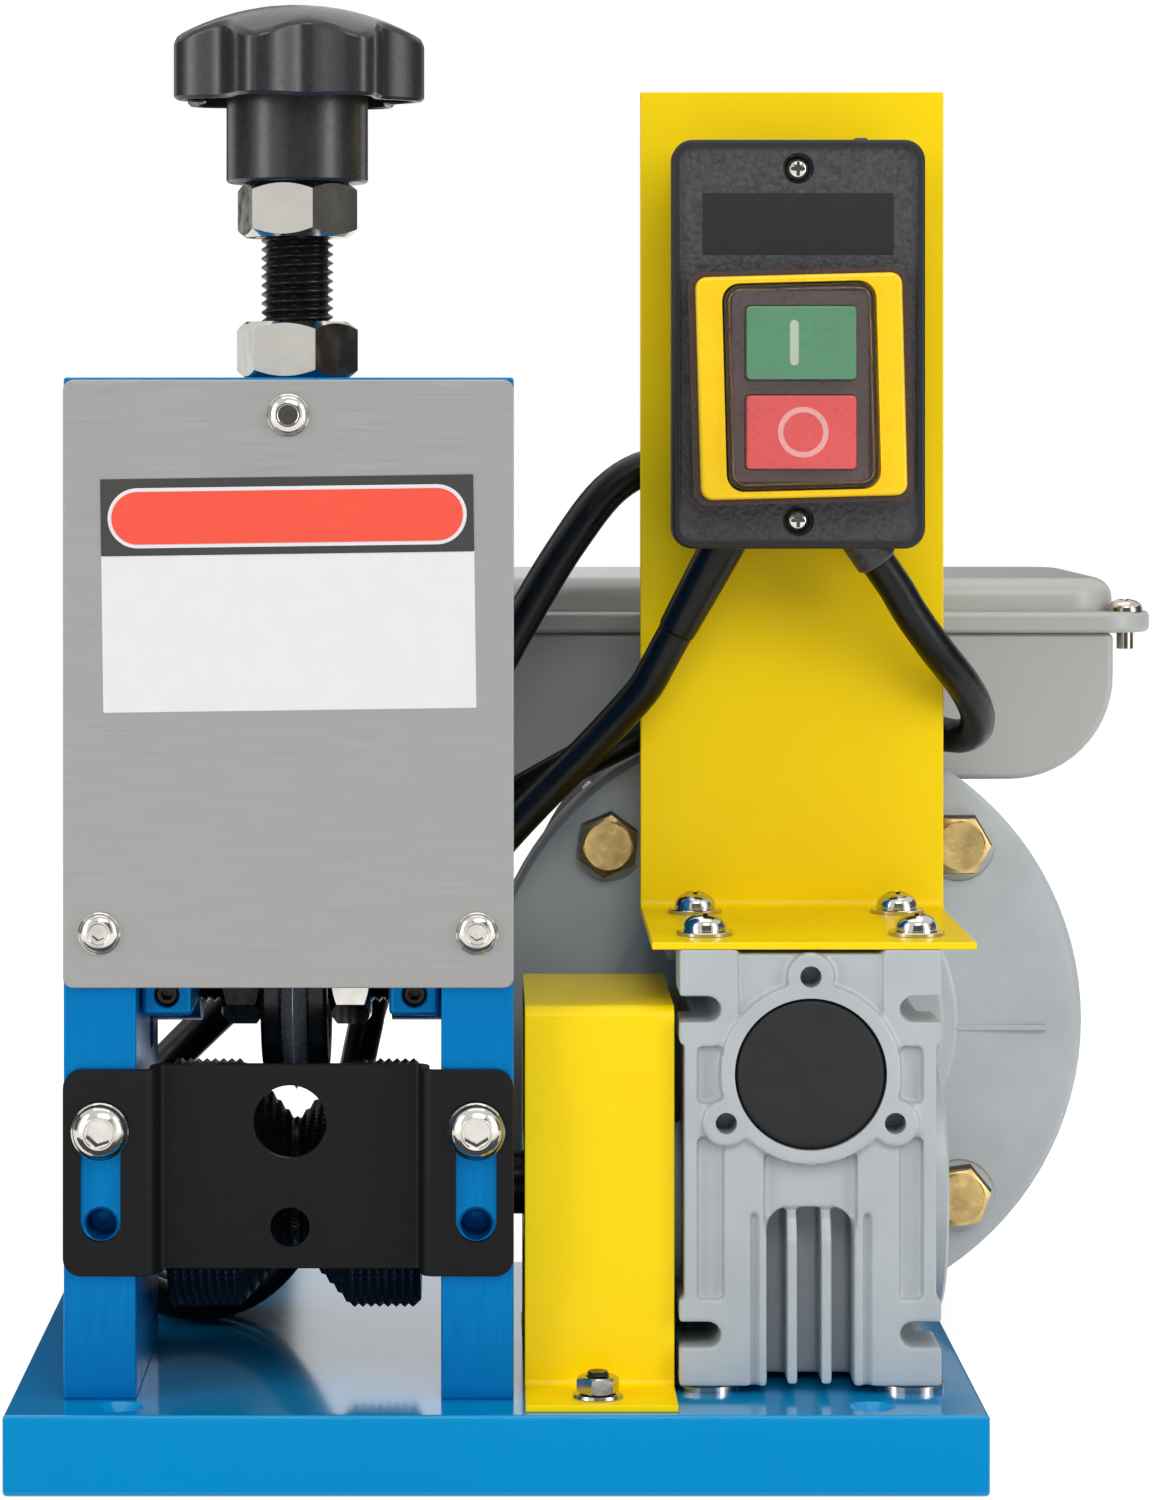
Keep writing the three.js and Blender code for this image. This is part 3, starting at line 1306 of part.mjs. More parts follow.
function motorHousing() {
  const flangeEnd = flangeBackY + motorFlangeThick;
  const points = [];
  const pitch = 2 * Math.PI / motorFinCount;
  for (let i = 0; i < motorFinCount; i++) {
    for (const [radius, offset] of [
      [motorBodyRadius, -motorFinRootShare], [motorFinRadius, -motorFinTipShare],
      [motorFinRadius, motorFinTipShare], [motorBodyRadius, motorFinRootShare],
    ]) {
      const angle = (i + offset) * pitch;
      points.push([gearX + radius * Math.cos(angle), wormZ + radius * Math.sin(angle)]);
    }
  }
  const body = push(outline(points), 'y', flangeEnd - fitGap, motorBackY);
  const disc = bevelledRod('y', flangeRadius, flangeBackY, flangeEnd, gearX, wormZ, flangeRimBevel, rimSides);
  const bore = rod('y', motorBore, flangeBackY + motorBoreInset, motorBackY + overrun, gearX, wormZ, fineSides);
  const noseHole = rod('y', flangeBore, flangeBackY - overrun, flangeBackY + motorBoreInset + overrun, gearX, wormZ);
  const boltHoles = flangeBoltPlaces().map(([x, z]) =>
    rod('y', flangeBoltRadius + fitGap, flangeBackY - overrun, flangeEnd + overrun, x, z, smallSides));
  return cut(join(body, disc), bore, noseHole, ...boltHoles);
}
place('motor_housing', motorHousing(), greyPaint);

const rotorFrontY = flangeBackY + motorBoreInset + rotorInset;
const rotorBackY = rotorFrontY + rotorLength;
const shaftFrontY = workY + wormLength / 2 + wormHubLength - wormHubBoreDepth + fitGap;
const fanFrontY = shieldBackY + fanGap;
const fanBackY = fanFrontY + fanHubLength;

place('motor_rotor', turned([
  [0, shaftFrontY], [motorShaftRadius, shaftFrontY], [motorShaftRadius, rotorFrontY],
  [rotorRadius, rotorFrontY], [rotorRadius, rotorBackY], [motorShaftRadius, rotorBackY],
  [motorShaftRadius, fanBackY], [0, fanBackY],
], 'y', gearX, wormZ), bladeSteel);

place('motor_end_shield', turned([
  [motorShaftRadius + fitGap, motorBackY - shieldSpigot], [motorBore - fitGap, motorBackY - shieldSpigot],
  [motorBore - fitGap, motorBackY], [shieldRadius, motorBackY], [shieldRadius, shieldBackY],
  [motorShaftRadius + fitGap, shieldBackY], [motorShaftRadius + fitGap, motorBackY - shieldSpigot],
], 'y', gearX, wormZ, fineSides), greyPaint);

function motorFan() {
  const hub = rod('y', fanHubRadius, fanFrontY, fanBackY, gearX, wormZ);
  const disc = rod('y', fanRadius, fanFrontY, fanFrontY + fanBladeThick, gearX, wormZ);
  const blades = [];
  for (let i = 0; i < fanBlades; i++) {
    const geometry = new THREE.BoxGeometry(fanRadius - fanHubRadius / 2, fanHubLength, fanBladeThick);
    geometry.translate((fanRadius + fanHubRadius / 2) / 2, 0, 0);
    geometry.rotateY(2 * Math.PI * i / fanBlades);
    geometry.translate(gearX, (fanFrontY + fanBackY) / 2, wormZ);
    blades.push(solidOf(geometry));
  }
  const bore = rod('y', motorShaftRadius + fitGap, fanFrontY - overrun, fanBackY + overrun, gearX, wormZ);
  return cut(join(hub, disc, ...blades), bore);
}
place('motor_fan', motorFan(), blackPlastic);

function fanCowl() {
  const from = shieldBackY - cowlLap;
  const to = from + cowlLength;
  const inner = shieldRadius + fitGap;
  const outer = inner + cowlThick;
  const shell = turned([
    [inner, from], [outer, from], [outer, to - cowlThick], [outer - cowlThick, to], [0, to],
    [0, to - cowlThick], [inner, to - cowlThick], [inner, from],
  ], 'y', gearX, wormZ, fineSides);
  const slots = [];
  for (let i = 0; i < cowlSlots; i++) {
    const geometry = new THREE.BoxGeometry(cowlSlotOuter - cowlSlotInner, cowlThick + 2 * overrun, cowlSlotWidth);
    geometry.translate((cowlSlotOuter + cowlSlotInner) / 2, 0, 0);
    geometry.rotateY(2 * Math.PI * (i + 1 / 2) / cowlSlots);
    geometry.translate(gearX, to - cowlThick / 2, wormZ);
    slots.push(solidOf(geometry));
  }
  return cut(shell, ...slots);
}
place('fan_cowl', fanCowl(), blackSheet);

// TERMINAL BOX AND ITS LID

function terminalBox() {
  const left = termX - termWidth / 2;
  const right = termX + termWidth / 2;
  const tub = (inset, low) => {
    const shape = new THREE.Shape();
    const corner = termCorner - inset;
    shape.moveTo(left + inset, termTop + (inset ? overrun : 0));
    shape.lineTo(left + inset, low + corner);
    shape.absarc(left + inset + corner, low + corner, corner, Math.PI, 1.5 * Math.PI);
    shape.lineTo(right - inset - corner, low);
    shape.absarc(right - inset - corner, low + corner, corner, 1.5 * Math.PI, 2 * Math.PI);
    shape.lineTo(right - inset, termTop + (inset ? overrun : 0));
    return push(shape, 'y', termFrontY + inset, termFrontY + termDepth - inset);
  };
  const saddleRadius = (motorFinRadius + fitGap) / Math.cos(Math.PI / rimSides);
  const saddle = rod('y', saddleRadius, termFrontY - overrun, termFrontY + termDepth + overrun,
    gearX, wormZ, rimSides);
  const gland = bevelledRod('y', termGlandRadius, termFrontY - termGlandReach, termFrontY + overrun,
    termGlandX, termGlandZ, fitGap * 2, screwSides);
  return cut(tub(0, termBottom), tub(termWall, termCavityFloor), saddle).add(gland);
}
place('terminal_box', terminalBox(), greyPlastic);

function terminalLid() {
  const middleY = termFrontY + termDepth / 2;
  const rim = roundedShape(termX, middleY, lidRimWidth, termDepth + 2 * lidRimProud, lidRimCorner);
  const dome = roundedShape(termX, middleY, termWidth - lidDomeInset, termDepth - lidDomeInset, lidRimCorner);
  return join(
    push(rim, 'z', termTop, termTop + lidRimThick, fitGap, smallCornerSteps),
    push(dome, 'z', termTop + fitGap, lidTop, lidDomeRound, smallCornerSteps, smallCornerSteps));
}
place('terminal_box_lid', terminalLid(), greyPlastic);

// SWITCH BRACKET

function bracketScrewPlaces() {
  const places = [];
  for (const side of [-1, 1]) {
    for (const setback of [bracketScrewFront, bracketScrewBack]) {
      places.push([bracketScrewX + side * bracketScrewSpread, frontY + setback]);
    }
  }
  return places;
}

function switchBracket() {
  const footZ = gearTop + bracketThick / 2;
  const panelY = panelFrontY + bracketThick / 2;
  const section = bentSheet([
    [frontY + bracketFront, footZ], [panelY, footZ], [panelY, bracketTop],
  ], bracketThick, bracketBend);
  const sheet = push(section, 'x', bracketX - bracketWidth / 2, bracketX + bracketWidth / 2);
  const holes = bracketScrewPlaces().map(([x, y]) =>
    rod('z', bracketScrewShank + fitGap, gearTop - overrun, gearTop + bracketThick + overrun, x, y, smallSides));
  return cut(sheet, ...holes);
}
place('switch_bracket', switchBracket(), yellowPaint);

bracketScrewPlaces().forEach(([x, y], i) => {
  const seat = gearTop + bracketThick;
  const head = seat + bracketWasherThick;
  const crown = bracketScrewHead * buttonCrownShare;
  const screw = turned([
    [0, gearTop - bracketScrewLength + bracketThick], [bracketScrewShank, gearTop - bracketScrewLength + bracketThick],
    [bracketScrewShank, seat], [bracketWasherRadius, seat], [bracketWasherRadius, head],
    [bracketScrewHead, head], [bracketScrewHead, head + bracketScrewHeadHeight / 2],
    [crown, head + bracketScrewHeadHeight], [0, head + bracketScrewHeadHeight],
  ], 'z', x, y, screwSides);
  place(`bracket_screw_${i + 1}`, screw, brightZinc);
});

// SWITCH BOX WITH ITS BEZEL, BUTTON GUARD AND BUTTONS

const boxMiddleZ = boxBottom + boxHeight / 2;

function switchBox() {
  const shell = push(roundedShape(boxX, boxMiddleZ, boxWidth, boxHeight, boxCorner), 'y',
    boxFrontY, panelFrontY, 0, cornerSteps);
  const field = push(roundedShape(boxX, boxMiddleZ, boxWidth - 2 * boxRimWidth, boxHeight - 2 * boxRimWidth,
    boxCorner - boxRimWidth), 'y', boxFrontY - overrun, boxFrontY + boxRimDepth, 0, cornerSteps);
  const wells = [boxScrewUpperZ, boxScrewLowerZ].map((z) =>
    rod('y', boxScrewWell, boxFrontY - overrun, boxFrontY + boxRimDepth + boxScrewWellDepth, boxX, z, screwSides));
  const pockets = [startButtonZ, stopButtonZ].map((z) =>
    block([boxX - buttonWidth / 2 - fitGap, boxX + buttonWidth / 2 + fitGap],
      [boxFrontY - overrun, boxFrontY + boxPocketDepth],
      [z - buttonHeight / 2 - fitGap, z + buttonHeight / 2 + fitGap]));
  const collar = leadBoot(motorExit, motorLean, motorCollarLength, bootRadius, bootRadius);
  return cut(shell, field, ...wells, ...pockets).add(collar);
}
place('switch_box', switchBox(), blackPlastic);

const bezelBackY = boxFrontY + boxRimDepth - fitGap;
const switchGroup = new THREE.Group();
switchGroup.position.set(boxX, 0, bezelZ);
switchGroup.rotation.y = -bezelTilt * rad;
machine.add(switchGroup);

function switchBezel() {
  const frame = push(roundedShape(0, 0, bezelWidth, bezelHeight, bezelCorner), 'y',
    bezelBackY - bezelProud, bezelBackY, bezelCorner / 2, smallCornerSteps);
  const window = push(roundedShape(0, 0, guardShellWidth + 4 * fitGap, guardShellHeight + 4 * fitGap, guardShellCorner),
    'y', bezelBackY - bezelProud - overrun, bezelBackY + overrun, 0, cornerSteps);
  return cut(frame, window);
}
place('switch_bezel', switchBezel(), yellowPaint, switchGroup);

function buttonGuard() {
  const inner = guardShellWidth - 2 * guardShellWall;
  const shell = push(roundedShape(0, 0, guardShellWidth, guardShellHeight, guardShellCorner), 'y',
    bezelBackY - guardShellProud, bezelBackY, guardShellWall, 3);
  const inside = push(roundedShape(0, 0, inner, guardShellHeight - 2 * guardShellWall,
    guardShellCorner - guardShellWall), 'y', bezelBackY - guardShellProud + guardShellWall, bezelBackY + overrun, 0, cornerSteps);
  return cut(shell, inside);
}
place('button_guard', buttonGuard(), clearPlastic, switchGroup);

function pushButton(z) {
  const face = boxFrontY - buttonProud;
  return push(roundedShape(boxX, z, buttonWidth, buttonHeight, buttonCorner), 'y', face, face + buttonDepth,
    buttonCorner / 2, 1);
}
place('start_button', pushButton(startButtonZ), greenPlastic);
place('stop_button', pushButton(stopButtonZ), redPlastic);

// LEADS

// A boot that leaves the flat underside of the switch box at a slant
function leadBoot(exit, lean, length, startRadius, endRadius) {
  const inside = along(exit, lean, -startRadius);
  const boot = taperedTube([inside, along(exit, lean, length)].map(inMachine), startRadius, endRadius, 1, bootSides);
  const above = block([boxX - boxWidth, boxX + boxWidth], [boxFrontY - boxDepth, panelFrontY + boxDepth],
    [boxBottom, boxBottom + boxDepth]);
  return cut(boot, above);
}
place('mains_boot', leadBoot(mainsExit, mainsLean, bootLength, bootRadius, bootTipRadius), blackCord);

// The hank: loops drawn in at the waist, each turn one pitch behind the last
const hankAxis = new THREE.Vector2(hankHigh[0] - hankLow[0], hankHigh[1] - hankLow[1]);
const hankHeading = hankAxis.clone().normalize();
const hankLeft = new THREE.Vector2(-hankHeading.y, hankHeading.x);

function hankPoint(turnPlace) {
  const stage = Math.floor(turnPlace) % 4;
  const share = turnPlace - Math.floor(turnPlace);
  const spread = (s) => hankBulb - (hankBulb - hankWaist) * Math.sin(Math.PI * s) ** 2;
  const bow = (s) => hankBow * Math.sin(Math.PI * s) ** 2;
  let forward;
  let left;
  if (stage === 0) {
    forward = (1 - share) * hankAxis.length();
    left = bow(1 - share) - spread(1 - share);
  } else if (stage === 1) {
    forward = -hankBulb * Math.sin(Math.PI * share);
    left = -hankBulb * Math.cos(Math.PI * share);
  } else if (stage === 2) {
    forward = share * hankAxis.length();
    left = bow(share) + spread(share);
  } else {
    forward = hankAxis.length() + hankBulb * Math.sin(Math.PI * share);
    left = hankBulb * Math.cos(Math.PI * share);
  }
  return new THREE.Vector3(
    hankLow[0] + forward * hankHeading.x + left * hankLeft.x,
    frontY + hankSetback + hankPitch * (turnPlace - hankStartShare) / 4,
    hankLow[1] + forward * hankHeading.y + left * hankLeft.y);
}

function hankPoints() {
  const points = [];
  let turnPlace = hankStartShare;
  while (turnPlace < hankEndShare) {
    points.push(hankPoint(turnPlace));
    const steps = Math.floor(turnPlace) % 2 === 0 ? hankRunSteps : hankBulbSteps;
    const next = (Math.floor((turnPlace + hankNudgeShare) * steps) + 1) / steps;
    turnPlace = Math.min(next, hankEndShare);
  }
  points.push(hankPoint(hankEndShare));
  return points;
}

const hankTrail = hankPoints();
const hankStart = hankTrail[0];
const hankEnd = hankTrail[hankTrail.length - 1];
const startHeading = hankPoint(hankStartShare + hankNudgeShare).sub(hankStart).normalize();
const endHeading = hankEnd.clone().sub(hankPoint(hankEndShare - hankNudgeShare)).normalize();

function tubeThrough(points, radius, sides) {
  const heading = (i) => points[Math.min(i + 1, points.length - 1)].clone()
    .sub(points[Math.max(i - 1, 0)]).normalize();
  const places = [];
  const faces = [];
  let side = new THREE.Vector3(0, 1, 0);
  points.forEach((point, i) => {
    const forward = heading(i);
    side = side.sub(forward.clone().multiplyScalar(side.dot(forward))).normalize();
    const up = forward.clone().cross(side);
    for (let j = 0; j < sides; j++) {
      const angle = 2 * Math.PI * j / sides;
      places.push(...point.clone().addScaledVector(side, radius * Math.cos(angle))
        .addScaledVector(up, radius * Math.sin(angle)));
      if (i === 0) continue;
      const a = (i - 1) * sides + j;
      const b = (i - 1) * sides + (j + 1) % sides;
      faces.push(a, b, b + sides, a, b + sides, a + sides);
    }
  });
  const last = (points.length - 1) * sides;
  for (let j = 1; j < sides - 1; j++) faces.push(0, j + 1, j, last, last + j, last + j + 1);
  const geometry = new THREE.BufferGeometry();
  geometry.setAttribute('position', new THREE.Float32BufferAttribute(places, 3));
  geometry.setIndex(faces);
  return solidOf(geometry);
}

// The least gap from the hank to itself, past the neighbours along the cord
function leastGap(points, radius) {
  let least = Infinity;
  const dense = new THREE.CatmullRomCurve3(points).getSpacedPoints(points.length * 8);
  const step = dense[0].distanceTo(dense[1]);
  const skip = Math.ceil(4 * radius / step);
  for (let i = 0; i < dense.length; i++) {
    for (let j = i + skip; j < dense.length; j++) {
      least = Math.min(least, dense[i].distanceTo(dense[j]) - 2 * radius);
    }
  }
  return least;
}

const straightIn = hankStart.clone().addScaledVector(startHeading, -2 * cordRadius);
const straightOut = hankEnd.clone().addScaledVector(endHeading, 2 * cordRadius);
place('mains_hank', tubeThrough(hankTrail, cordRadius, hankSides), blackCord);
console.log(`least gap of the hank to itself: ${leastGap(hankTrail, cordRadius).toFixed(2)} mm`);

// A plain tube along a smooth curve
function cordTube(points) {
  const curve = new THREE.CatmullRomCurve3(points);
  const section = new THREE.Shape();
  section.absarc(0, 0, cordRadius, 0, 2 * Math.PI);
  const geometry = new THREE.ExtrudeGeometry(section, {
    steps: Math.ceil(curve.getLength() / (cordRadius * 4)),
    curveSegments: cordSides,
    extrudePath: curve,
  });
  return solidOf(geometry);
}

const mainsBootTip = along(mainsExit, mainsLean, bootLength + fitGap);
place('mains_lead', cordTube([
  inMachine(mainsBootTip), inMachine(along(mainsBootTip, mainsLean, 2 * cordRadius)),
  ...mainsRoute.map(inMachine),
  straightIn, hankStart.clone().addScaledVector(startHeading, -fitGap),
]), blackCord);

const plugFront = inMachine(plugPlace);
const plugNeck = plugFront.clone().add(new THREE.Vector3(0, -plugNeckLength - fitGap, 0));
place('mains_tail', cordTube([
  hankEnd.clone().addScaledVector(endHeading, fitGap), straightOut,
  ...tailRoute.map(inMachine),
  plugNeck.clone().add(new THREE.Vector3(0, -2 * cordRadius, 0)), plugNeck,
]), blackCord);

function mainsPlug() {
  const { x, y, z } = plugFront;
  const body = push(roundedShape(x, z, plugWidth, plugHeight, plugCorner), 'y', y, y + plugLength,
    plugBevel, smallCornerSteps);
  const neck = turned([
    [0, y - plugNeckLength], [bootTipRadius, y - plugNeckLength], [bootRadius, y + overrun], [0, y + overrun],
  ], 'y', x, z, screwSides);
  const prongs = [-1, 1].map((side) => {
    const middle = x + side * prongSpacing / 2;
    return block([middle - prongThick / 2, middle + prongThick / 2],
      [y + plugLength - overrun, y + plugLength + prongReach], [z - prongWidth / 2, z + prongWidth / 2]);
  });
  const pin = rod('y', earthPinRadius, y + plugLength - overrun, y + plugLength + earthPinReach,
    x, z - earthPinDrop, smallSides);
  return join(body, neck, ...prongs, pin);
}
place('mains_plug', mainsPlug(), blackCord);

const collarTip = along(motorExit, motorLean, motorCollarLength + fitGap);
const glandFace = new THREE.Vector3(termGlandX, termFrontY - termGlandReach - fitGap, termGlandZ);
place('motor_lead', cordTube([
  inMachine(collarTip), inMachine(along(collarTip, motorLean, 2 * cordRadius)),
  ...motorRoute.map(inMachine),
  glandFace.clone().add(new THREE.Vector3(0, -cordRadius, 0)), glandFace,
]), blackCord);

export default machine;
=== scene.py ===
"""Looks of the electric wire stripping machine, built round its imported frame.

Blender objects are in metres. The shape helpers take millimetres, as the named sizes are.
+X is to the right, +Y to the back and +Z up; the origin is the middle of the base's underside.
"""
import json
import math

import bmesh
import bpy
from mathutils import Matrix, Vector


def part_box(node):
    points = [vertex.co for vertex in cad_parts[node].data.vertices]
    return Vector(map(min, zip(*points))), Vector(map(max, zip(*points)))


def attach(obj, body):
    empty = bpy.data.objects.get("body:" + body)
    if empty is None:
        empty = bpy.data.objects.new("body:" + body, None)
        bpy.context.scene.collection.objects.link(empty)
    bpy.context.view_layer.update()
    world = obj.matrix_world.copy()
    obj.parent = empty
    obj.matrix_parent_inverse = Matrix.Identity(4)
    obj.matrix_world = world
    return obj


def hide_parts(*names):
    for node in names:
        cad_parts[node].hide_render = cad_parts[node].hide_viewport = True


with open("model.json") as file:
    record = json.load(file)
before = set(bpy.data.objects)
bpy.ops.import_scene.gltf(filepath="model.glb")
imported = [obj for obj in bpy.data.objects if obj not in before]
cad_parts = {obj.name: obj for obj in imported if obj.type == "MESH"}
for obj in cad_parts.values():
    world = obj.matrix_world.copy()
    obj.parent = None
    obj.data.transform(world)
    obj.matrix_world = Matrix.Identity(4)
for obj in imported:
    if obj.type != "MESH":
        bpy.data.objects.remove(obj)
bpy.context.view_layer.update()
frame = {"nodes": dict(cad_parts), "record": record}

MM = 0.001
WELD = 0.000002
FINE = 96
ROUND = 64
SMALL = 32


def span(node):
    """Lowest and highest corner of a CAD node in millimetres."""
    low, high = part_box(node)
    return low / MM, high / MM


# CAMERA: level, in front and a little above, with the lens shifted as in the photograph

CAMERA_PLACE = (-3.4, -1000.6, 223.8)
IMAGE_WIDE, IMAGE_HIGH = 1158, 1500
FOCAL_PIXELS = 4366
PRINCIPAL_X, PRINCIPAL_Y = 480, 430
SENSOR = 36


def make_camera():
    data = bpy.data.cameras.new("camera")
    data.sensor_width = SENSOR
    data.lens = FOCAL_PIXELS / IMAGE_HIGH * SENSOR
    data.shift_x = (IMAGE_WIDE / 2 - PRINCIPAL_X) / IMAGE_HIGH
    data.shift_y = (PRINCIPAL_Y - IMAGE_HIGH / 2) / IMAGE_HIGH
    data.clip_start = 0.05
    data.clip_end = 20
    camera = bpy.data.objects.new("camera", data)
    camera.location = Vector(CAMERA_PLACE) * MM
    camera.rotation_euler = (math.radians(90), 0, 0)
    bpy.context.scene.collection.objects.link(camera)
    bpy.context.scene.camera = camera


make_camera()


# SHAPE HELPERS

def spot(axis, along, u, v):
    """A point from its place along an axis and its two coordinates across it."""
    if axis == "x":
        return (along, u, v)
    if axis == "y":
        return (u, along, v)
    return (u, v, along)


def mesh_of(points, faces):
    mesh = bpy.data.meshes.new("shape")
    mesh.from_pydata([Vector(p) * MM for p in points], [], faces)
    work = bmesh.new()
    work.from_mesh(mesh)
    bmesh.ops.remove_doubles(work, verts=work.verts, dist=WELD)
    bmesh.ops.recalc_face_normals(work, faces=work.faces)
    work.to_mesh(mesh)
    work.free()
    return mesh


def lofted(rows, capped=False):
    """Rings of points joined one to the next, with flat ends where capped."""
    sides = len(rows[0])
    points = [p for row in rows for p in row]
    last = len(points) - 1
    faces = [tuple(range(sides)), tuple(range(last, last - sides, -1))] if capped else []
    for low in range(0, last + 1 - sides, sides):
        for j in range(sides):
            k = (j + 1) % sides
            faces.append((low + j, low + k, low + sides + k, low + sides + j))
    return mesh_of(points, faces)


def prism(outline, axis, low, high):
    return lofted([[spot(axis, along, u, v) for u, v in outline] for along in (low, high)], True)


def block(x, y, z):
    return prism([(x[0], y[0]), (x[1], y[0]), (x[1], y[1]), (x[0], y[1])], "z", *z)


def box_of(node):
    low, high = span(node)
    return block((low.x, high.x), (low.y, high.y), (low.z, high.z))


def ring(axis, along, u, v, radii):
    """A ring of points round the axis, with a radius of its own at each."""
    turns = [2 * math.pi * i / len(radii) for i in range(len(radii))]
    return [spot(axis, along, u + r * math.cos(a), v + r * math.sin(a)) for r, a in zip(radii, turns)]


def turned(profile, axis, u, v, sides=ROUND):
    """A profile of (radius, place along the axis), on the axis at both ends or closed on itself."""
    return lofted([ring(axis, along, u, v, [radius] * sides) for radius, along in profile])


def rod(axis, radius, low, high, u, v, sides=ROUND):
    return turned([(0, low), (radius, low), (radius, high), (0, high)], axis, u, v, sides)


def rods(axis, radius, low, high, places):
    """The same rod at each of some places across the axis."""
    return [rod(axis, radius, low, high, u, v, SMALL) for u, v in places]


def eased_rod(axis, radius, low, high, u, v, ease, sides=ROUND):
    flat = radius - ease
    profile = [(0, low), (flat, low), (radius, low + ease), (radius, high - ease), (flat, high), (0, high)]
    return turned(profile, axis, u, v, sides)


def band(axis, inner, outer, low, high, u, v, sides=ROUND):
    """A plain ring, such as a washer."""
    profile = [(inner, low), (outer, low), (outer, high), (inner, high), (inner, low)]
    return turned(profile, axis, u, v, sides)


def arc(u, v, radius, start, end, steps):
    """Points on an arc, its angles in degrees."""
    angles = [math.radians(start + (end - start) * i / steps) for i in range(steps + 1)]
    return [(u + radius * math.cos(a), v + radius * math.sin(a)) for a in angles]


def rounded(u, v, width, height, radius, steps=6):
    across = width / 2 - radius
    up = height / 2 - radius
    corners = ((across, -up), (across, up), (-across, up), (-across, -up))
    return [
        point for i, (x, z) in enumerate(corners)
        for point in arc(u + x, v + z, radius, 90 * i - 90, 90 * i, steps)]


def panel(u, v, width, height, radius, start, end, steps=6, axis="y"):
    """A plate with round corners, from start to end along the axis."""
    return prism(rounded(u, v, width, height, radius, steps), axis, start, end)


def bent(points, thick, inside, steps=6):
    """Outline of a sheet bent along a line of points, with an even thickness."""
    line = [Vector(p) for p in points]
    left, right = [], []

    def lay(point, along):
        side = Vector((-along.y, along.x)) * thick / 2
        left.append(point + side)
        right.append(point - side)

    heading = [(line[i + 1] - line[i]).normalized() for i in range(len(line) - 1)]
    middle = inside + thick / 2
    lay(line[0], heading[0])
    for i in range(1, len(line) - 1):
        before, after = heading[i - 1], heading[i]
        bend = math.atan2(before.x * after.y - before.y * after.x, before.dot(after))
        hand = math.copysign(1, bend)
        start = line[i] - before * middle * math.tan(abs(bend) / 2)
        centre = start + Vector((-before.y, before.x)) * hand * middle
        for step in range(steps + 1):
            turn = bend * step / steps
            along = Vector((
                before.x * math.cos(turn) - before.y * math.sin(turn),
                before.x * math.sin(turn) + before.y * math.cos(turn)))
            lay(centre + Vector((along.y, -along.x)) * hand * middle, along)
    lay(line[-1], heading[-1])
    return [tuple(p) for p in left + right[::-1]]


def hexagon(across, u, v, turn):
    corner = across / math.sqrt(3)
    angles = [math.radians(60 * i + turn) for i in range(6)]
    return [(u + corner * math.cos(a), v + corner * math.sin(a)) for a in angles]


def linked(mesh, name="work"):
    made = bpy.data.objects.new(name, mesh)
    bpy.context.scene.collection.objects.link(made)
    return made


def settled(thing):
    """The object's mesh with its modifiers applied; the object itself goes."""
    graph = bpy.context.evaluated_depsgraph_get()
    mesh = bpy.data.meshes.new_from_object(thing.evaluated_get(graph))
    bpy.data.objects.remove(thing)
    return mesh


def combined(operation, mesh, tools):
    whole = linked(mesh)
    helpers = [linked(tool) for tool in tools]
    for helper in helpers:
        modifier = whole.modifiers.new("combine", "BOOLEAN")
        modifier.operation = operation
        modifier.solver = "EXACT"
        modifier.object = helper
    result = settled(whole)
    for helper in helpers:
        bpy.data.objects.remove(helper)
    return result


def joined(mesh, *tools):
    return combined("UNION", mesh, tools)


def carved(mesh, *tools):
    return combined("DIFFERENCE", mesh, tools)


def common(mesh, *tools):
    return combined("INTERSECT", mesh, tools)


def cast(mesh, voxel, rounds):
    """The mesh with its edges melted round, as a casting's are."""
    thing = linked(mesh)
    remesh = thing.modifiers.new("remesh", "REMESH")
    remesh.mode = "VOXEL"
    remesh.voxel_size = voxel * MM
    smooth = thing.modifiers.new("smooth", "SMOOTH")
    smooth.factor = 0.5
    smooth.iterations = rounds
    return settled(thing)


def merged(*meshes):
    """Several closed meshes as one, without cutting them."""
    work = bmesh.new()
    for mesh in meshes:
        work.from_mesh(mesh)
    whole = bpy.data.meshes.new("shape")
    work.to_mesh(whole)
    work.free()
    return whole


def thread(axis, major, minor, pitch, low, high, u, v, sides=40, steps=8):
    """A screw thread as one helical surface with flat ends."""
    count = int((high - low) / pitch * steps)
    rows = [ring(axis, low, u, v, [0] * sides)]
    for row in range(count + 1):
        along = low + (high - low) * row / count
        fade = min(1, (along - low) / pitch, (high - along) / pitch)
        waves = [1 - abs(2 * ((along / pitch - i / sides) % 1) - 1) for i in range(sides)]
        crests = [min(1, max(0, wave * 1.3 - 0.1)) for wave in waves]
        rows.append(ring(axis, along, u, v, [minor + (major - minor) * crest * fade for crest in crests]))
    rows.append(ring(axis, high, u, v, [0] * sides))
    return lofted(rows)


def hex_nut(axis, across, low, high, u, v, turn, bore):
    """A hexagon nut with eased corners and a countersunk bore."""
    corner = across / math.sqrt(3)
    flat = across / 2 * 0.95
    drop = (corner - flat) * math.tan(math.radians(30))
    wide = corner + drop
    sink = bore * 0.12
    mouth = bore + 2 * sink
    outside = [
        (0, low), (flat, low), (wide, low + 2 * drop), (wide, high - 2 * drop), (flat, high), (0, high)]
    hole = [
        (0, low - sink), (mouth, low - sink), (bore, low + sink), (bore, high - sink), (mouth, high + sink),
        (0, high + sink)]
    nut = common(prism(hexagon(across, u, v, turn), axis, low, high), turned(outside, axis, u, v))
    return carved(nut, turned(hole, axis, u, v))


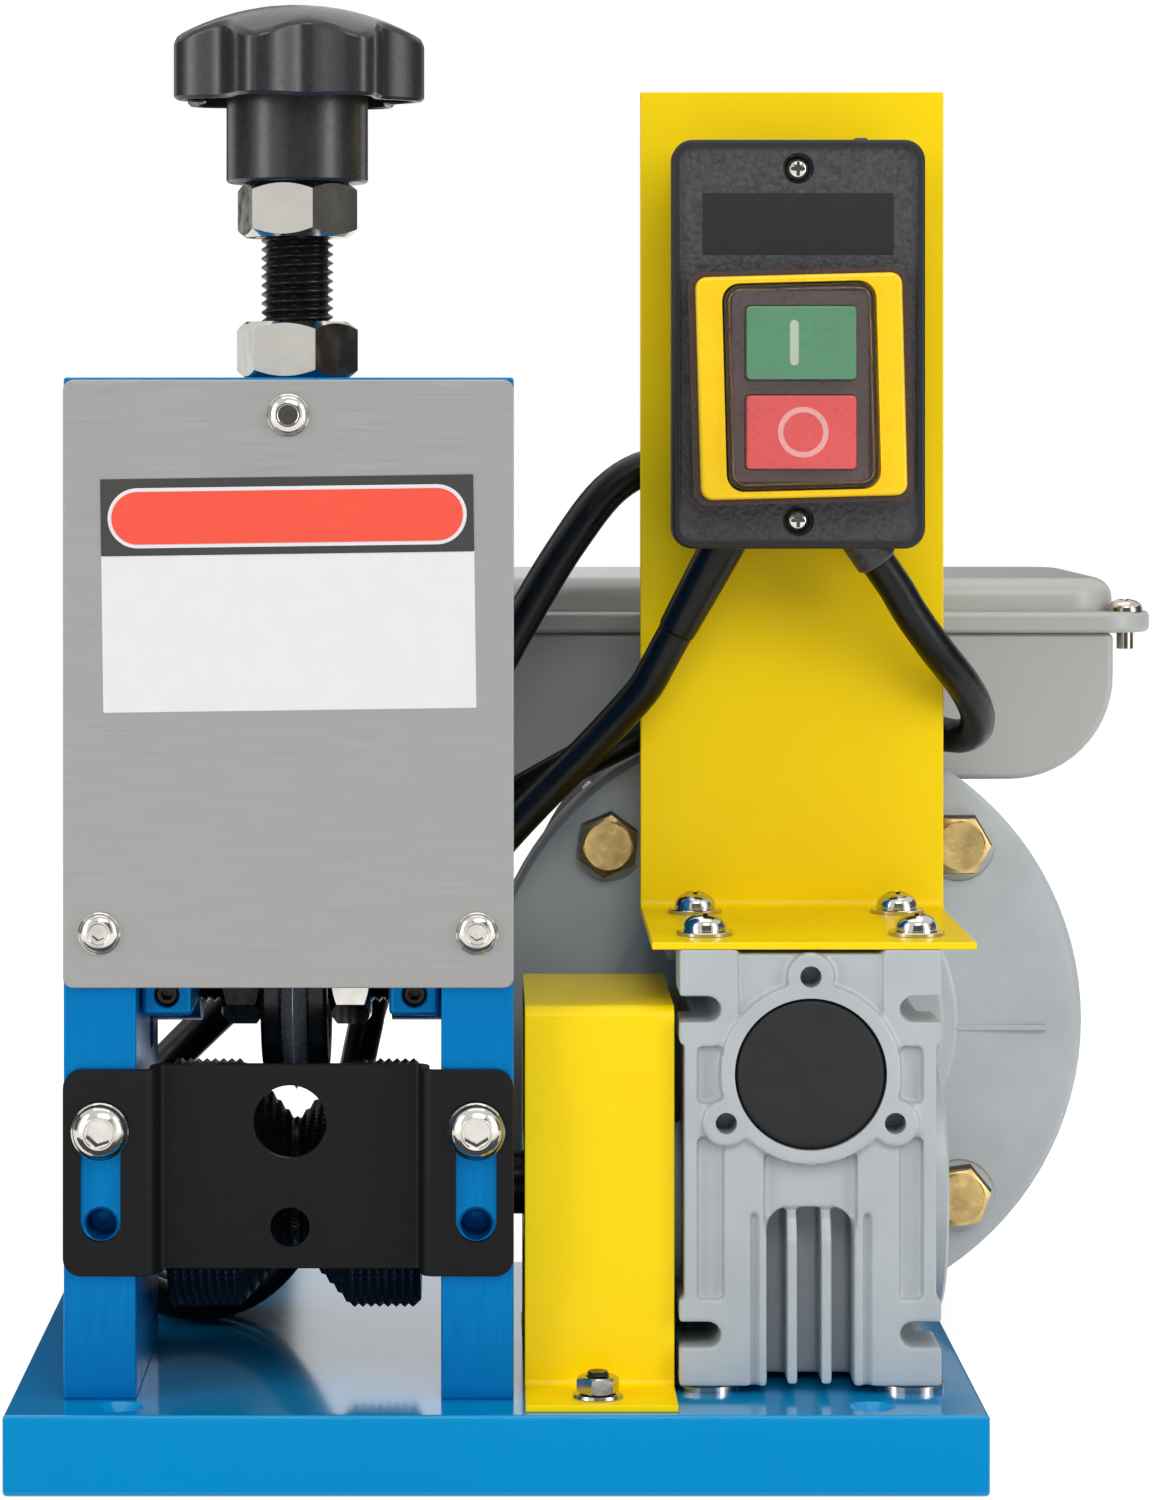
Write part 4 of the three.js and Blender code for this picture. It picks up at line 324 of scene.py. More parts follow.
def socket_screw(x, seat, z, head, tall, shank, length, socket, turn):
    """Domed head to the front with a hexagon socket, seat at its underside."""
    angles = [math.radians(a) for a in range(52, 3, -8)]
    lip = head * 0.52
    floor_y = seat - tall * 0.86
    profile = [
        (0, floor_y), (lip - 0.2, floor_y), (lip, seat - tall), (lip + 0.25, seat - tall),
        *[(head * 0.93 * math.cos(a), seat - tall * (0.3 + 0.7 * math.sin(a))) for a in angles],
        (head * 0.95, seat - tall * 0.3), (head, seat - tall * 0.22), (head, seat), (shank, seat),
        (shank, seat + length), (0, seat + length)]
    recess = prism(hexagon(socket, x, z, turn), "y", seat - 2 * tall, seat - tall * 0.3)
    return carved(turned(profile, "y", x, z, SMALL), recess)


def cross_screw(axis, u, v, seat, out, head, tall, arm, wide, shank, length):
    """Pan head with a cross recess. out is +1 or -1, the way the head faces along the axis."""
    angles = [math.radians(a) for a in range(0, 90, 15)]
    profile = [
        (0, seat - out * length), (shank, seat - out * length), (shank, seat), (head, seat),
        *[(head * math.cos(a), seat + out * tall * (0.25 + 0.75 * math.sin(a))) for a in angles],
        (0, seat + out * tall)]
    low, high = sorted((seat + out * tall * 0.35, seat + out * tall * 2))
    recess = [panel(u, v, *size, wide / 3, low, high, 2, axis) for size in ((arm, wide), (wide, arm))]
    return carved(turned(profile, axis, u, v, SMALL), *recess)


def askew(mesh, x, z, degrees):
    """The mesh turned a little about a point of the front, as it was stuck or screwed on."""
    centre = Vector((x, 0, z)) * MM
    turn = Matrix.Rotation(math.radians(degrees), 4, "Y")
    mesh.transform(Matrix.Translation(centre) @ turn @ Matrix.Translation(-centre))
    return mesh


# MATERIALS: procedural, in each object's own coordinates

def linear(red, green, blue):
    """An sRGB colour of 0 to 255 as linear values."""
    def one(value):
        share = value / 255
        return share / 12.92 if share <= 0.04045 else ((share + 0.055) / 1.055) ** 2.4
    return (one(red), one(green), one(blue), 1)


def fill(inputs, values):
    for name, value in values.items():
        inputs[name].default_value = value


class Finish:
    """A Principled material whose colour, roughness and bump drift with noise.

    tint is (share, *noise), grain is (spread of roughness, *noise) and bump is (depth in millimetres,
    strength, *noise). A noise is its cells per metre, its detail and, where it has one, its stretch.
    """

    def __init__(self, name, slot, colour, roughness, metallic=0, level=0.5, tint=None, grain=None, bump=None,
                 more=None):
        self.slot = slot
        self.material = bpy.data.materials.new(name)
        self.material.use_nodes = True
        self.nodes = self.material.node_tree.nodes
        self.link = self.material.node_tree.links.new
        self.place = self.nodes.new("ShaderNodeTexCoord").outputs["Object"]
        shader = self.nodes["Principled BSDF"].inputs
        base = linear(*colour)
        fill(shader, {
            "Base Color": base, "Roughness": roughness, "Metallic": metallic, "Specular IOR Level": level,
            **(more or {})})
        if tint:
            share, *noise = tint
            mix = self.nodes.new("ShaderNodeMix")
            mix.data_type = "RGBA"
            mix.inputs["A"].default_value = [c * (1 - share) for c in base[:3]] + [1]
            mix.inputs["B"].default_value = [min(1, c * (1 + share)) for c in base[:3]] + [1]
            self.link(self.ranged(noise, 0, 1), mix.inputs["Factor"])
            self.link(mix.outputs["Result"], shader["Base Color"])
        if grain:
            spread, *noise = grain
            low, high = max(0.02, roughness - spread), roughness + spread
            self.link(self.ranged(noise, low, high), shader["Roughness"])
        if bump:
            depth, strength, *noise = bump
            node = self.nodes.new("ShaderNodeBump")
            fill(node.inputs, {"Distance": depth * MM, "Strength": strength})
            self.link(self.noise(*noise), node.inputs["Height"])
            self.link(node.outputs["Normal"], shader["Normal"])

    def noise(self, cells, detail, stretch=(1, 1, 1)):
        mapping = self.nodes.new("ShaderNodeMapping")
        mapping.inputs["Scale"].default_value = stretch
        texture = self.nodes.new("ShaderNodeTexNoise")
        fill(texture.inputs, {"Scale": cells, "Detail": detail})
        self.link(self.place, mapping.inputs["Vector"])
        self.link(mapping.outputs["Vector"], texture.inputs["Vector"])
        return texture.outputs["Fac"]

    def ranged(self, noise, low, high):
        """The middle of a noise spread over low to high."""
        node = self.nodes.new("ShaderNodeMapRange")
        fill(node.inputs, {"From Min": 0.3, "From Max": 0.7, "To Min": low, "To Max": high})
        self.link(self.noise(*noise), node.inputs["Value"])
        return node.outputs["Result"]


def zinc(name, colour):
    return Finish(name, "bright_zinc", colour, 0.15, 1, tint=(0.05, 120, 3), grain=(0.06, 260, 3),
                  bump=(0.02, 0.3, 700, 2))


def moulded(name, slot, colour):
    return Finish(name, slot, colour, 0.3, tint=(0.04, 90, 2), grain=(0.05, 900, 2),
                  bump=(0.02, 0.4, 1800, 2))


def paper(name, colour):
    return Finish(name, "brushed_cover", colour, 0.4, tint=(0.02, 200, 2), bump=(0.01, 0.3, 1800, 2))


STREAKS = (2600, 4, (0.02, 1, 1))
PEBBLES = (900, 2)
SAND = (1500, 4)
PEEL = (420, 2)
BLUE = Finish("blue_anodised", "blue_anodised", (0, 116, 182), 0.3, 0.4, 0.08, (0.05, 14, 2, (1, 1, 3)),
              (0.06, 900, 2, (1, 1, 0.08)), (0.02, 0.35, 1600, 2, (1, 1, 0.05)))
BASE = Finish("blue_gloss", "blue_anodised", (0, 143, 204), 0.12, 0, 0.1, (0.03, 9, 2), (0.03, 300, 2),
              (0.01, 0.2, 90, 2), {"Coat Weight": 1, "Coat Roughness": 0.1, "Coat IOR": 1.28})
COVER = Finish("brushed_cover", "brushed_cover", (162, 161, 159), 0.45, 0.3, 0.5, (0.045, *STREAKS),
               (0.07, *STREAKS), (0.02, 0.25, *STREAKS))
ZINC = zinc("bright_zinc", (196, 194, 187))
BOLT = Finish("yellow_zinc", "yellow_zinc", (198, 170, 112), 0.3, 0.85, 0.5, (0.3, 160, 3), (0.1, 400, 3),
              (0.04, 0.5, 1100, 3))
SHEET = Finish("black_sheet", "black_sheet", (16, 16, 18), 0.42, 0, 0.18, (0.12, 40, 2), (0.05, 500, 3),
               (0.03, 0.4, 1500, 2))
OXIDE = Finish("black_oxide", "black_oxide", (34, 33, 33), 0.32, 0.6, 0.5, (0.3, 150, 3), (0.1, 600, 3),
               (0.03, 0.4, 1300, 2))
STEEL = Finish("blade_steel", "blade_steel", (176, 178, 184), 0.26, 0.6, 0.5, (0.08, 220, 3), (0.06, 900, 3),
               (0.02, 0.3, 2200, 2))
KNOB = Finish("knob_plastic", "black_plastic", (40, 40, 42), 0.27, 0, 0.5, (0.08, 60, 2), (0.04, 700, 2),
              (0.02, 0.4, 2400, 2))
PEBBLED = Finish("pebbled_plastic", "black_plastic", (56, 55, 58), 0.46, 0, 0.5, (0.34, *PEBBLES),
                 (0.08, *PEBBLES), (0.3, 1, *PEBBLES))
MATT = Finish("black_matt", "black_plastic", (34, 34, 36), 0.5, 0, 0.3, (0.05, 200, 2), None,
              (0.02, 0.4, 2600, 2))
CAST = Finish("cast_aluminium", "cast_aluminium", (178, 184, 187), 0.45, 0.15, 0.5, (0.06, 70, 4),
              (0.08, *SAND), (0.05, 0.6, *SAND))
PAINT = Finish("grey_paint", "grey_paint", (166, 169, 170), 0.4, 0, 0.5, (0.05, 60, 3), (0.06, 800, 3),
               (0.05, 0.5, 700, 4))
PLASTIC = Finish("grey_plastic", "grey_plastic", (180, 182, 179), 0.34, 0, 0.5, (0.03, 30, 3),
                 (0.05, 900, 2), (0.02, 0.5, 2200, 2))
YELLOW = Finish("yellow_paint", "yellow_paint", (254, 217, 0), 0.36, 0, 0.14, (0.03, 25, 2), (0.05, *PEEL),
                (0.03, 0.35, *PEEL), {"Coat Weight": 0.12, "Coat Roughness": 0.2, "Coat IOR": 1.5})
BEZEL = moulded("bezel_yellow", "yellow_plastic", (254, 206, 4))
GREEN = moulded("button_green", "green_plastic", (76, 158, 122))
RED = moulded("button_red", "red_plastic", (230, 90, 96))
PALE_GREEN = moulded("mark_pale_green", "clear_plastic", (190, 218, 204))
PALE_RED = moulded("mark_pale_red", "clear_plastic", (240, 186, 192))
CLEAR = Finish("clear_guard", "clear_plastic", (228, 206, 198), 0.06, 0, 0.5, None, (0.03, 200, 2),
               (0.03, 0.3, 300, 2), {"Transmission Weight": 0.94, "IOR": 1.3, "Alpha": 0.4})
BRONZE = Finish("bronze", "bronze", (190, 140, 74), 0.34, 1, 0.5, (0.15, 150, 3), (0.1, 700, 3))
BRASS = zinc("plug_brass", (206, 186, 130))
NICKEL = zinc("nickel", (186, 178, 166))
BLANK = Finish("black_plate", "black_plastic", (40, 39, 42), 0.6, 0, 0.2, (0.05, 150, 2), None,
               (0.01, 0.3, 3000, 2))
SURROUND = moulded("smoky_surround", "black_plastic", (82, 77, 84))
GASKET = moulded("smoky_gasket", "clear_plastic", (74, 58, 52))
CORD = Finish("black_cord", "black_cord", (7, 7, 8), 0.34, 0, 0.24, (0.1, 120, 2), (0.07, 400, 3),
              (0.04, 0.5, 900, 2))
LABEL_WHITE = paper("label_white", (226, 226, 228))
LABEL_BLACK = paper("label_black", (58, 58, 56))
LABEL_RED = paper("label_red", (240, 82, 60))


# PIECES

SIDES = (("left", -1), ("right", 1))
SHARP = math.radians(32)
BODY_OF = {node: body for body, nodes in frame["record"]["behaviour"]["bodies"].items() for node in nodes}


def shaded(mesh):
    mesh.polygons.foreach_set("use_smooth", [True] * len(mesh.polygons))
    mesh.set_sharp_from_angle(angle=SHARP)


def piece(name, mesh, finish, body="frame", replaces=()):
    """A named piece on a body, with its finish."""
    shaded(mesh)
    made = linked(mesh, name)
    normals = made.modifiers.new("normals", "WEIGHTED_NORMAL")
    normals.keep_sharp = True
    normals.weight = 90
    mesh = settled(made)
    mesh.name = name
    mesh.materials.clear()
    mesh.materials.append(finish.material)
    made = linked(mesh, name)
    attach(made, body)
    if replaces:
        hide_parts(*replaces)
    return made


def stands_for(node, mesh, finish):
    """A finer piece in place of one CAD node, on that node's body."""
    return piece(node + "_fine", mesh, finish, BODY_OF[node], (node,))


def keeps(node, finish):
    """A CAD node whose shape is right gets its finish."""
    thing = frame["nodes"][node]
    thing.data.materials.clear()
    thing.data.materials.append(finish.material)


def bevelled(mesh, width, segments=3):
    thing = linked(mesh)
    modifier = thing.modifiers.new("edges", "BEVEL")
    modifier.width = width * MM
    modifier.segments = segments
    modifier.limit_method = "ANGLE"
    modifier.angle_limit = SHARP
    modifier.use_clamp_overlap = False
    return settled(thing)


def slab(x, y, z, ease):
    return bevelled(block(x, y, z), ease)


# CORDS: the routes are the part's own, as [x, distance behind the front of the base, z]

BASE_LOW, BASE_HIGH = span("base_plate")
FRONT_Y = BASE_LOW.y
BASE_TOP = BASE_HIGH.z
CORD_RADIUS = 4
BOOT_RADIUS = 4.9
BOOT_TIP = 4.3
BOOT_LENGTH = 22
TOUCH = 0.3
MAINS_EXIT = (51.1, 70, 197.3)
MAINS_LEAN = (-0.457, 0.19, -0.868)
MOTOR_EXIT = (84.2, 70, 197.3)
MOTOR_LEAN = (0.563, 0.169, -0.809)
COLLAR_LENGTH = 4
MAINS_ROUTE = [
    (34.4, 77.6, 165.6), (30.4, 79.6, 160.6), (26, 81.4, 155.6), (21, 82.9, 150.2), (15.5, 83.9, 144.6),
    (10, 84.2, 139), (4, 84.4, 132.6), (-2, 84.8, 125.8), (-8, 85.8, 118.8), (-13.4, 87.2, 112.2),
    (-18.4, 89.2, 105.6),
]
TAIL_ROUTE = [
    (59.5, 121.9, 213.8), (65.9, 126.8, 210.3), (70.8, 133.2, 206.4), (73.9, 140.6, 203), (75, 148.6, 200.8),
]
PLUG_PLACE = (75, 166, 199.9)
PLUG_NECK = 8
PLUG_LENGTH = 34
MOTOR_ROUTE = [
    (93.4, 72.8, 183.4), (97.6, 74.4, 177.4), (101.2, 76.4, 172.8), (104.6, 79.4, 168.8), (107.6, 83.4, 165),
    (110.2, 88.4, 161), (111.7, 94, 157.2), (111.4, 100, 153.8), (108.6, 105.4, 152.2), (104, 109.4, 152.8),
    (98.6, 111.8, 155), (93, 113.4, 157.8), (87.4, 115.2, 160), (82.9, 117.4, 161),
]
GLAND = (80, 135, 161)
GLAND_REACH = 8
HANK_LOW = Vector((-69, 46.6))
HANK_HIGH = Vector((44, 191.5))
HANK_BULB = 25
HANK_WAIST = 6
HANK_BOW = 9
HANK_SETBACK = 94.6
HANK_PITCH = 8.8
HANK_START, HANK_END = 0.7, 11.29
HANK_STEP = 0.125
SPLINE_STEP = 2.5


def in_machine(point):
    return Vector((point[0], FRONT_Y + point[1], point[2]))


def leaning(point, lean, distance):
    return tuple(p + d * distance for p, d in zip(point, lean))


def hank_point(place):
    """The hank's loops, drawn in at the waist, each turn one pitch behind the last."""
    axis = HANK_HIGH - HANK_LOW
    length = axis.length
    heading = axis / length
    left_hand = Vector((-heading.y, heading.x))
    stage, share = int(place) % 4, place - int(place)
    wave = math.sin(math.pi * share) ** 2
    spread = HANK_BULB - (HANK_BULB - HANK_WAIST) * wave
    bow = HANK_BOW * wave
    if stage == 0:
        forward, left = (1 - share) * length, bow - spread
    elif stage == 1:
        forward, left = -HANK_BULB * math.sin(math.pi * share), -HANK_BULB * math.cos(math.pi * share)
    elif stage == 2:
        forward, left = share * length, bow + spread
    else:
        forward = length + HANK_BULB * math.sin(math.pi * share)
        left = HANK_BULB * math.cos(math.pi * share)
    flat = HANK_LOW + heading * forward + left_hand * left
    depth = HANK_SETBACK + HANK_PITCH * (place - HANK_START) / 4
    return Vector((flat.x, FRONT_Y + depth, flat.y))


def hank_points():
    count = math.ceil((HANK_END - HANK_START) / HANK_STEP)
    return [hank_point(HANK_START + (HANK_END - HANK_START) * i / count) for i in range(count + 1)]


def smooth_line(points, step):
    """Points a step apart on a centripetal spline through the given points."""
    line = [2 * points[0] - points[1], *points, 2 * points[-1] - points[-2]]
    made = []
    for i in range(1, len(line) - 2):
        a, b, c, d = line[i - 1:i + 3]
        t1 = (b - a).length ** 0.5
        t2 = t1 + (c - b).length ** 0.5
        t3 = t2 + (d - c).length ** 0.5
        count = max(1, round((c - b).length / step))
        for j in range(count):
            t = t1 + (t2 - t1) * j / count
            a1 = a * (t1 - t) / t1 + b * t / t1
            a2 = b * (t2 - t) / (t2 - t1) + c * (t - t1) / (t2 - t1)
            a3 = c * (t3 - t) / (t3 - t2) + d * (t - t2) / (t3 - t2)
            b1 = a1 * (t2 - t) / t2 + a2 * t / t2
            b2 = a2 * (t3 - t) / (t3 - t1) + a3 * (t - t1) / (t3 - t1)
            made.append(b1 * (t2 - t) / (t2 - t1) + b2 * (t - t1) / (t2 - t1))
    made.append(points[-1])
    return made


def cord_curve(name, points, nodes):
    data = bpy.data.curves.new(name, "CURVE")
    data.dimensions = "3D"
    data.bevel_depth = CORD_RADIUS * MM
    data.bevel_resolution = 6
    data.use_fill_caps = True
    spline = data.splines.new("POLY")
    spline.points.add(len(points) - 1)
    for made, point in zip(spline.points, points):
        made.co = (*(point * MM), 1)
    spline.use_smooth = True
    thing = bpy.data.objects.new(name, data)
    bpy.context.scene.collection.objects.link(thing)
    data.materials.append(CORD.material)
    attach(thing, "frame")
    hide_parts(*nodes)
    return thing


def tube_along(points, radii, sides=SMALL):
    """A closed tube through points with its own radius at each."""
    rows = []
    side = Vector((0, 1, 0))
    turns = [2 * math.pi * j / sides for j in range(sides)]
    for i, point in enumerate(points):
        heading = (points[min(i + 1, len(points) - 1)] - points[max(i - 1, 0)]).normalized()
        side = (side - heading * side.dot(heading)).normalized()
        up = heading.cross(side)
        rows.append([point + (side * math.cos(a) + up * math.sin(a)) * radii[i] for a in turns])
    return lofted(rows, True)


def above(bottom):
    """A cutter for what a boot or collar would reach into the switch box."""
    return block((0, 120), (FRONT_Y, FRONT_Y + 120), (bottom, bottom + 30))


def tapered_boot():
    """Strain relief of the mains lead: a smooth taper with an eased tip."""
    stations = [(-BOOT_RADIUS, 0), (0, 0), (BOOT_LENGTH * 0.4, 0.3), (BOOT_LENGTH * 0.75, 0.7),
                (BOOT_LENGTH - 0.5, 1), (BOOT_LENGTH, 1.3)]
    points = [in_machine(leaning(MAINS_EXIT, MAINS_LEAN, along)) for along, share in stations]
    radii = [BOOT_RADIUS + (BOOT_TIP - BOOT_RADIUS) * share for along, share in stations]
    return carved(tube_along(points, radii), above(MAINS_EXIT[2]))


def mains_plug():
    """Straight moulded plug with two flat blades and an earth pin, finger grooves on its sides."""
    x, y, z = in_machine(PLUG_PLACE)
    low, high = span("mains_plug")
    end = y + PLUG_LENGTH
    width, height = high.x - low.x, high.z - low.z
    stations = [
        (0, 0.62), (1.6, 0.74), (7, 0.82), (13, 0.9), (20, 0.97), (27, 1), (32.4, 1), (33.6, 0.97),
        (PLUG_LENGTH, 0.93)]
    outline = rounded(0, 0, 1, 1, 0.32, 8)
    body = lofted([
        [(x + u * width * share, y + along, z + v * height * (0.3 + 0.7 * share)) for u, v in outline]
        for along, share in stations], True)
    inner = block((x - width / 2 + 1.8, x + width / 2 - 1.8), (y, end), (z - height, z + height))
    grooves = []
    for i in range(4):
        across = (y + 15 + 3.4 * i, y + 16.4 + 3.4 * i)
        grooves.append(carved(block((x - width, x + width), across, (z - height / 5, z + height / 5)), inner))
    neck = turned([
        (0, y - PLUG_NECK), (BOOT_TIP, y - PLUG_NECK), (BOOT_RADIUS, y - 2), (BOOT_RADIUS + 1.2, y),
        (BOOT_RADIUS + 1.2, y + 3), (0, y + 3)], "y", x, z)
    made = [stands_for("mains_plug", joined(carved(body, *grooves), neck), CORD)]
    for side, hand in SIDES:
        centre = x + hand * 6.35
        blade = slab((centre - 0.75, centre + 0.75), (end - 2, end + 17), (z - 3.2, z + 3.2), 0.3)
        made.append(piece("plug_blade_" + side, blade, BRASS))
    pin = turned([(0, end - 2), (2.3, end - 2), (2.3, end + 17.4), (1.6, end + 18.7), (0, end + 19)],
                 "y", x, z - 4.5, SMALL)
    return [*made, piece("plug_earth_pin", pin, BRASS)]


def hank_tie():
    """A cable tie drawn round the waist of the hank."""
    waist = (hank_point(4.5) + hank_point(6.5)) / 2
    axis = (HANK_HIGH - HANK_LOW).normalized()
    across = Vector((-axis.y, axis.x))
    front = FRONT_Y + HANK_SETBACK - CORD_RADIUS - 0.6
    back = hank_point(HANK_END - 0.79).y + CORD_RADIUS + 0.9
    centre = (front + back) / 2
    half = HANK_WAIST + CORD_RADIUS + 0.6
    outer = panel(0, centre, 2 * half + 2, back - front + 2, 4, -2.4, 2.4, axis="z")
    inner = panel(0, centre, 2 * half, back - front, 3.2, -4, 4, axis="z")
    head = slab((half - 1, half + 4), (centre - 3, centre + 3), (-3.4, 3.4), 0.8)
    tail = slab((half + 2, half + 14), (centre - 0.7, centre + 0.7), (-1.8, 1.8), 0.3)
    whole = joined(carved(outer, inner), head, tail)
    whole.transform(Matrix((
        (across.x, 0, axis.x, waist.x * MM), (0, 1, 0, 0), (across.y, 0, axis.y, waist.z * MM),
        (0, 0, 0, 1))))
    return piece("hank_tie", whole, MATT)


def make_cords():
    boot_tip = leaning(MAINS_EXIT, MAINS_LEAN, BOOT_LENGTH + TOUCH)
    hank = hank_points()
    start_heading = (hank[1] - hank[0]).normalized()
    end_heading = (hank[-1] - hank[-2]).normalized()
    plug_neck = in_machine(PLUG_PLACE) - Vector((0, PLUG_NECK + TOUCH, 0))
    mains = smooth_line([
        in_machine(boot_tip), in_machine(leaning(boot_tip, MAINS_LEAN, 2 * CORD_RADIUS)),
        *[in_machine(p) for p in MAINS_ROUTE],
        hank[0] - start_heading * 2 * CORD_RADIUS, *hank, hank[-1] + end_heading * 2 * CORD_RADIUS,
        *[in_machine(p) for p in TAIL_ROUTE],
        plug_neck - Vector((0, 2 * CORD_RADIUS, 0)), plug_neck], SPLINE_STEP)
    lead = cord_curve("mains_cord", mains, ["mains_lead", "mains_hank", "mains_tail"])
    stands_for("mains_boot", tapered_boot(), CORD)
    plug = mains_plug()
    hank_tie()

    collar_tip = leaning(MOTOR_EXIT, MOTOR_LEAN, COLLAR_LENGTH + TOUCH)
    gland = in_machine(GLAND) - Vector((0, GLAND_REACH + TOUCH, 0))
    motor = smooth_line([
        in_machine(collar_tip), in_machine(leaning(collar_tip, MOTOR_LEAN, 2 * CORD_RADIUS)),
        *[in_machine(p) for p in MOTOR_ROUTE],
        gland - Vector((0, CORD_RADIUS, 0)), gland], SPLINE_STEP)
    lead = cord_curve("motor_cord", motor, ["motor_lead"])


make_cords()


# BASE AND HEAD

def middle(node):
    low, high = span(node)
    return (low + high) / 2


HEAD_LOW, HEAD_HIGH = span("head_top_plate")
HEAD_X = (HEAD_LOW.x + HEAD_HIGH.x) / 2
HEAD_FRONT = HEAD_LOW.y
WORK_Y = middle("adjusting_screw").y
ROLLER_Z = middle("feed_roller").z
BLADE_Z = middle("blade_shaft").z
GEAR_X = middle("gearbox_end_cap").x
WORM_Z = middle("gearbox_end_cap").z
OVER = 2
SCREW_HOLE = 2.7
ADJUSTER_BORE = 8.3
BLADE_BORE = 6.3
JOURNAL = 7
ROLLER_HUB = 9.5
BEARING_HOLE = 13.3
KEY_HALF = 4
KEY_SLOT = KEY_HALF + 0.3
KEY_SLOT_FOOT = 86
PLATE_EASE = 0.6
COVER_SCREWS = {
    "top": (HEAD_X, HEAD_HIGH.z - 8), "left": (HEAD_X - 40.2, 116.7), "right": (HEAD_X + 40.2, 116.7)}
GUIDE_SCREW_Z = 74.7
SPARE_HOLE_Z = 54.4
BENCH_HOLES = [(x, y) for x in (-79.6, 79.6) for y in (-76.6, 76.6)]
SLOT_SPREAD = 40
SLOT_Z = 65
SLOT_WIDE, SLOT_HIGH = 8.6, 28
WIRE_HOLES = ((7.85, 75.2), (4.25, 52.6))
CHANNEL_WIDE, CHANNEL_DEEP = 56, 9


def sunk_hole(axis, u, v, radius, sink, deep, face, inward, ease=0.5):
    """A cutter for a hole with an eased or countersunk mouth; inward is +1 or -1 along the axis."""
    return turned([
        (0, face - inward * OVER), (sink, face - inward * OVER), (sink, face), (radius, face + inward * ease),
        (radius, face + inward * deep), (0, face + inward * (deep + radius / 2))], axis, u, v, SMALL)


def base_plate():
    plate = slab((BASE_LOW.x, BASE_HIGH.x), (BASE_LOW.y, BASE_HIGH.y), (0, BASE_TOP), 0.9)
    holes = [sunk_hole("z", x, y, 2.8, 4.9, BASE_TOP + OVER, BASE_TOP, -1, 2.1) for x, y in BENCH_HOLES]
    low, high = span("input_flange")
    reach = (high.x - low.x) / 2 + 1.2
    half = math.sqrt(reach ** 2 - (WORM_Z - BASE_TOP) ** 2)
    rear = span("motor_housing")[0].y + 10.2
    relief = slab((GEAR_X - half, GEAR_X + half), (low.y + 1.2, rear), (BASE_TOP - 2.4, 30), 1)
    stands_for("base_plate", carved(plate, *holes, relief), BASE)


def side_plate(side, hand):
    node = side + "_side_plate"
    low, high = span(node)
    inner = low.x if hand > 0 else high.x
    key_x = sorted((inner - hand * OVER, inner + hand * KEY_SLOT))
    key = block(key_x, (WORK_Y - KEY_SLOT, WORK_Y + KEY_SLOT), (KEY_SLOT_FOOT, high.z + OVER))
    bore = rod("x", BEARING_HOLE, low.x - OVER, high.x + OVER, WORK_Y, ROLLER_Z)
    guide_x = HEAD_X + hand * SLOT_SPREAD
    holes = [
        sunk_hole("y", guide_x, SPARE_HOLE_Z, 3.35, 3.9, 12, HEAD_FRONT, 1),
        sunk_hole("y", guide_x, GUIDE_SCREW_Z, 4.2, 4.6, 15, HEAD_FRONT, 1),
        sunk_hole("y", *COVER_SCREWS[side], SCREW_HOLE, 3, 12, HEAD_FRONT, 1)]
    stands_for(node, carved(bevelled(box_of(node), PLATE_EASE), key, bore, *holes), BLUE)


def head_top_plate():
    bore = rod("z", ADJUSTER_BORE, HEAD_LOW.z - OVER, HEAD_HIGH.z + OVER, HEAD_X, WORK_Y)
    hole = sunk_hole("y", *COVER_SCREWS["top"], SCREW_HOLE, 3, 12, HEAD_FRONT, 1)
    stands_for("head_top_plate", carved(bevelled(box_of("head_top_plate"), PLATE_EASE), bore, hole), BLUE)


def front_cover():
    low, high = span("front_cover")
    x, z = (low.x + high.x) / 2, (low.z + high.z) / 2
    sheet = bevelled(panel(x, z, high.x - low.x, high.z - low.z, 2.2, low.y, high.y), 0.35)
    holes = [rod("y", SCREW_HOLE, low.y - OVER, high.y + OVER, x, z) for x, z in COVER_SCREWS.values()]
    stands_for("front_cover", carved(sheet, *holes), COVER)
    for name, (x, z) in COVER_SCREWS.items():
        stands_for("cover_screw_" + name, socket_screw(x, low.y, z, 4.5, 2.4, 2.4, 11, 2.6, 20), ZINC)


LABEL_X, LABEL_Z = -44.2, 189
LABEL_WIDE, LABEL_HIGH = 79.4, 49.7
LABEL_BAND = 16.4
LABEL_THICK = 0.12
LABEL_TURN = 0.78


def label():
    """A plain label with colour fields and nothing written on it, stuck on a little askew."""
    face = span("front_cover")[0].y
    band_z = LABEL_Z + LABEL_HIGH / 2 - LABEL_BAND / 2
    fields = (
        ("field", LABEL_Z, LABEL_WIDE, LABEL_HIGH, 0.3, 6, LABEL_WHITE),
        ("band", band_z, LABEL_WIDE, LABEL_BAND, 0.3, 6, LABEL_BLACK),
        ("rim", band_z - 0.2, 76.4, 12.8, 6.39, 16, LABEL_WHITE),
        ("pill", band_z - 0.2, 74.8, 11.2, 5.59, 16, LABEL_RED))
    for layer, (name, z, width, height, corner, steps, finish) in enumerate(fields):
        back = face - layer * LABEL_THICK
        mesh = panel(LABEL_X, z, width, height, corner, back - LABEL_THICK, back, steps)
        piece("label_" + name, askew(mesh, LABEL_X, LABEL_Z, -LABEL_TURN), finish)


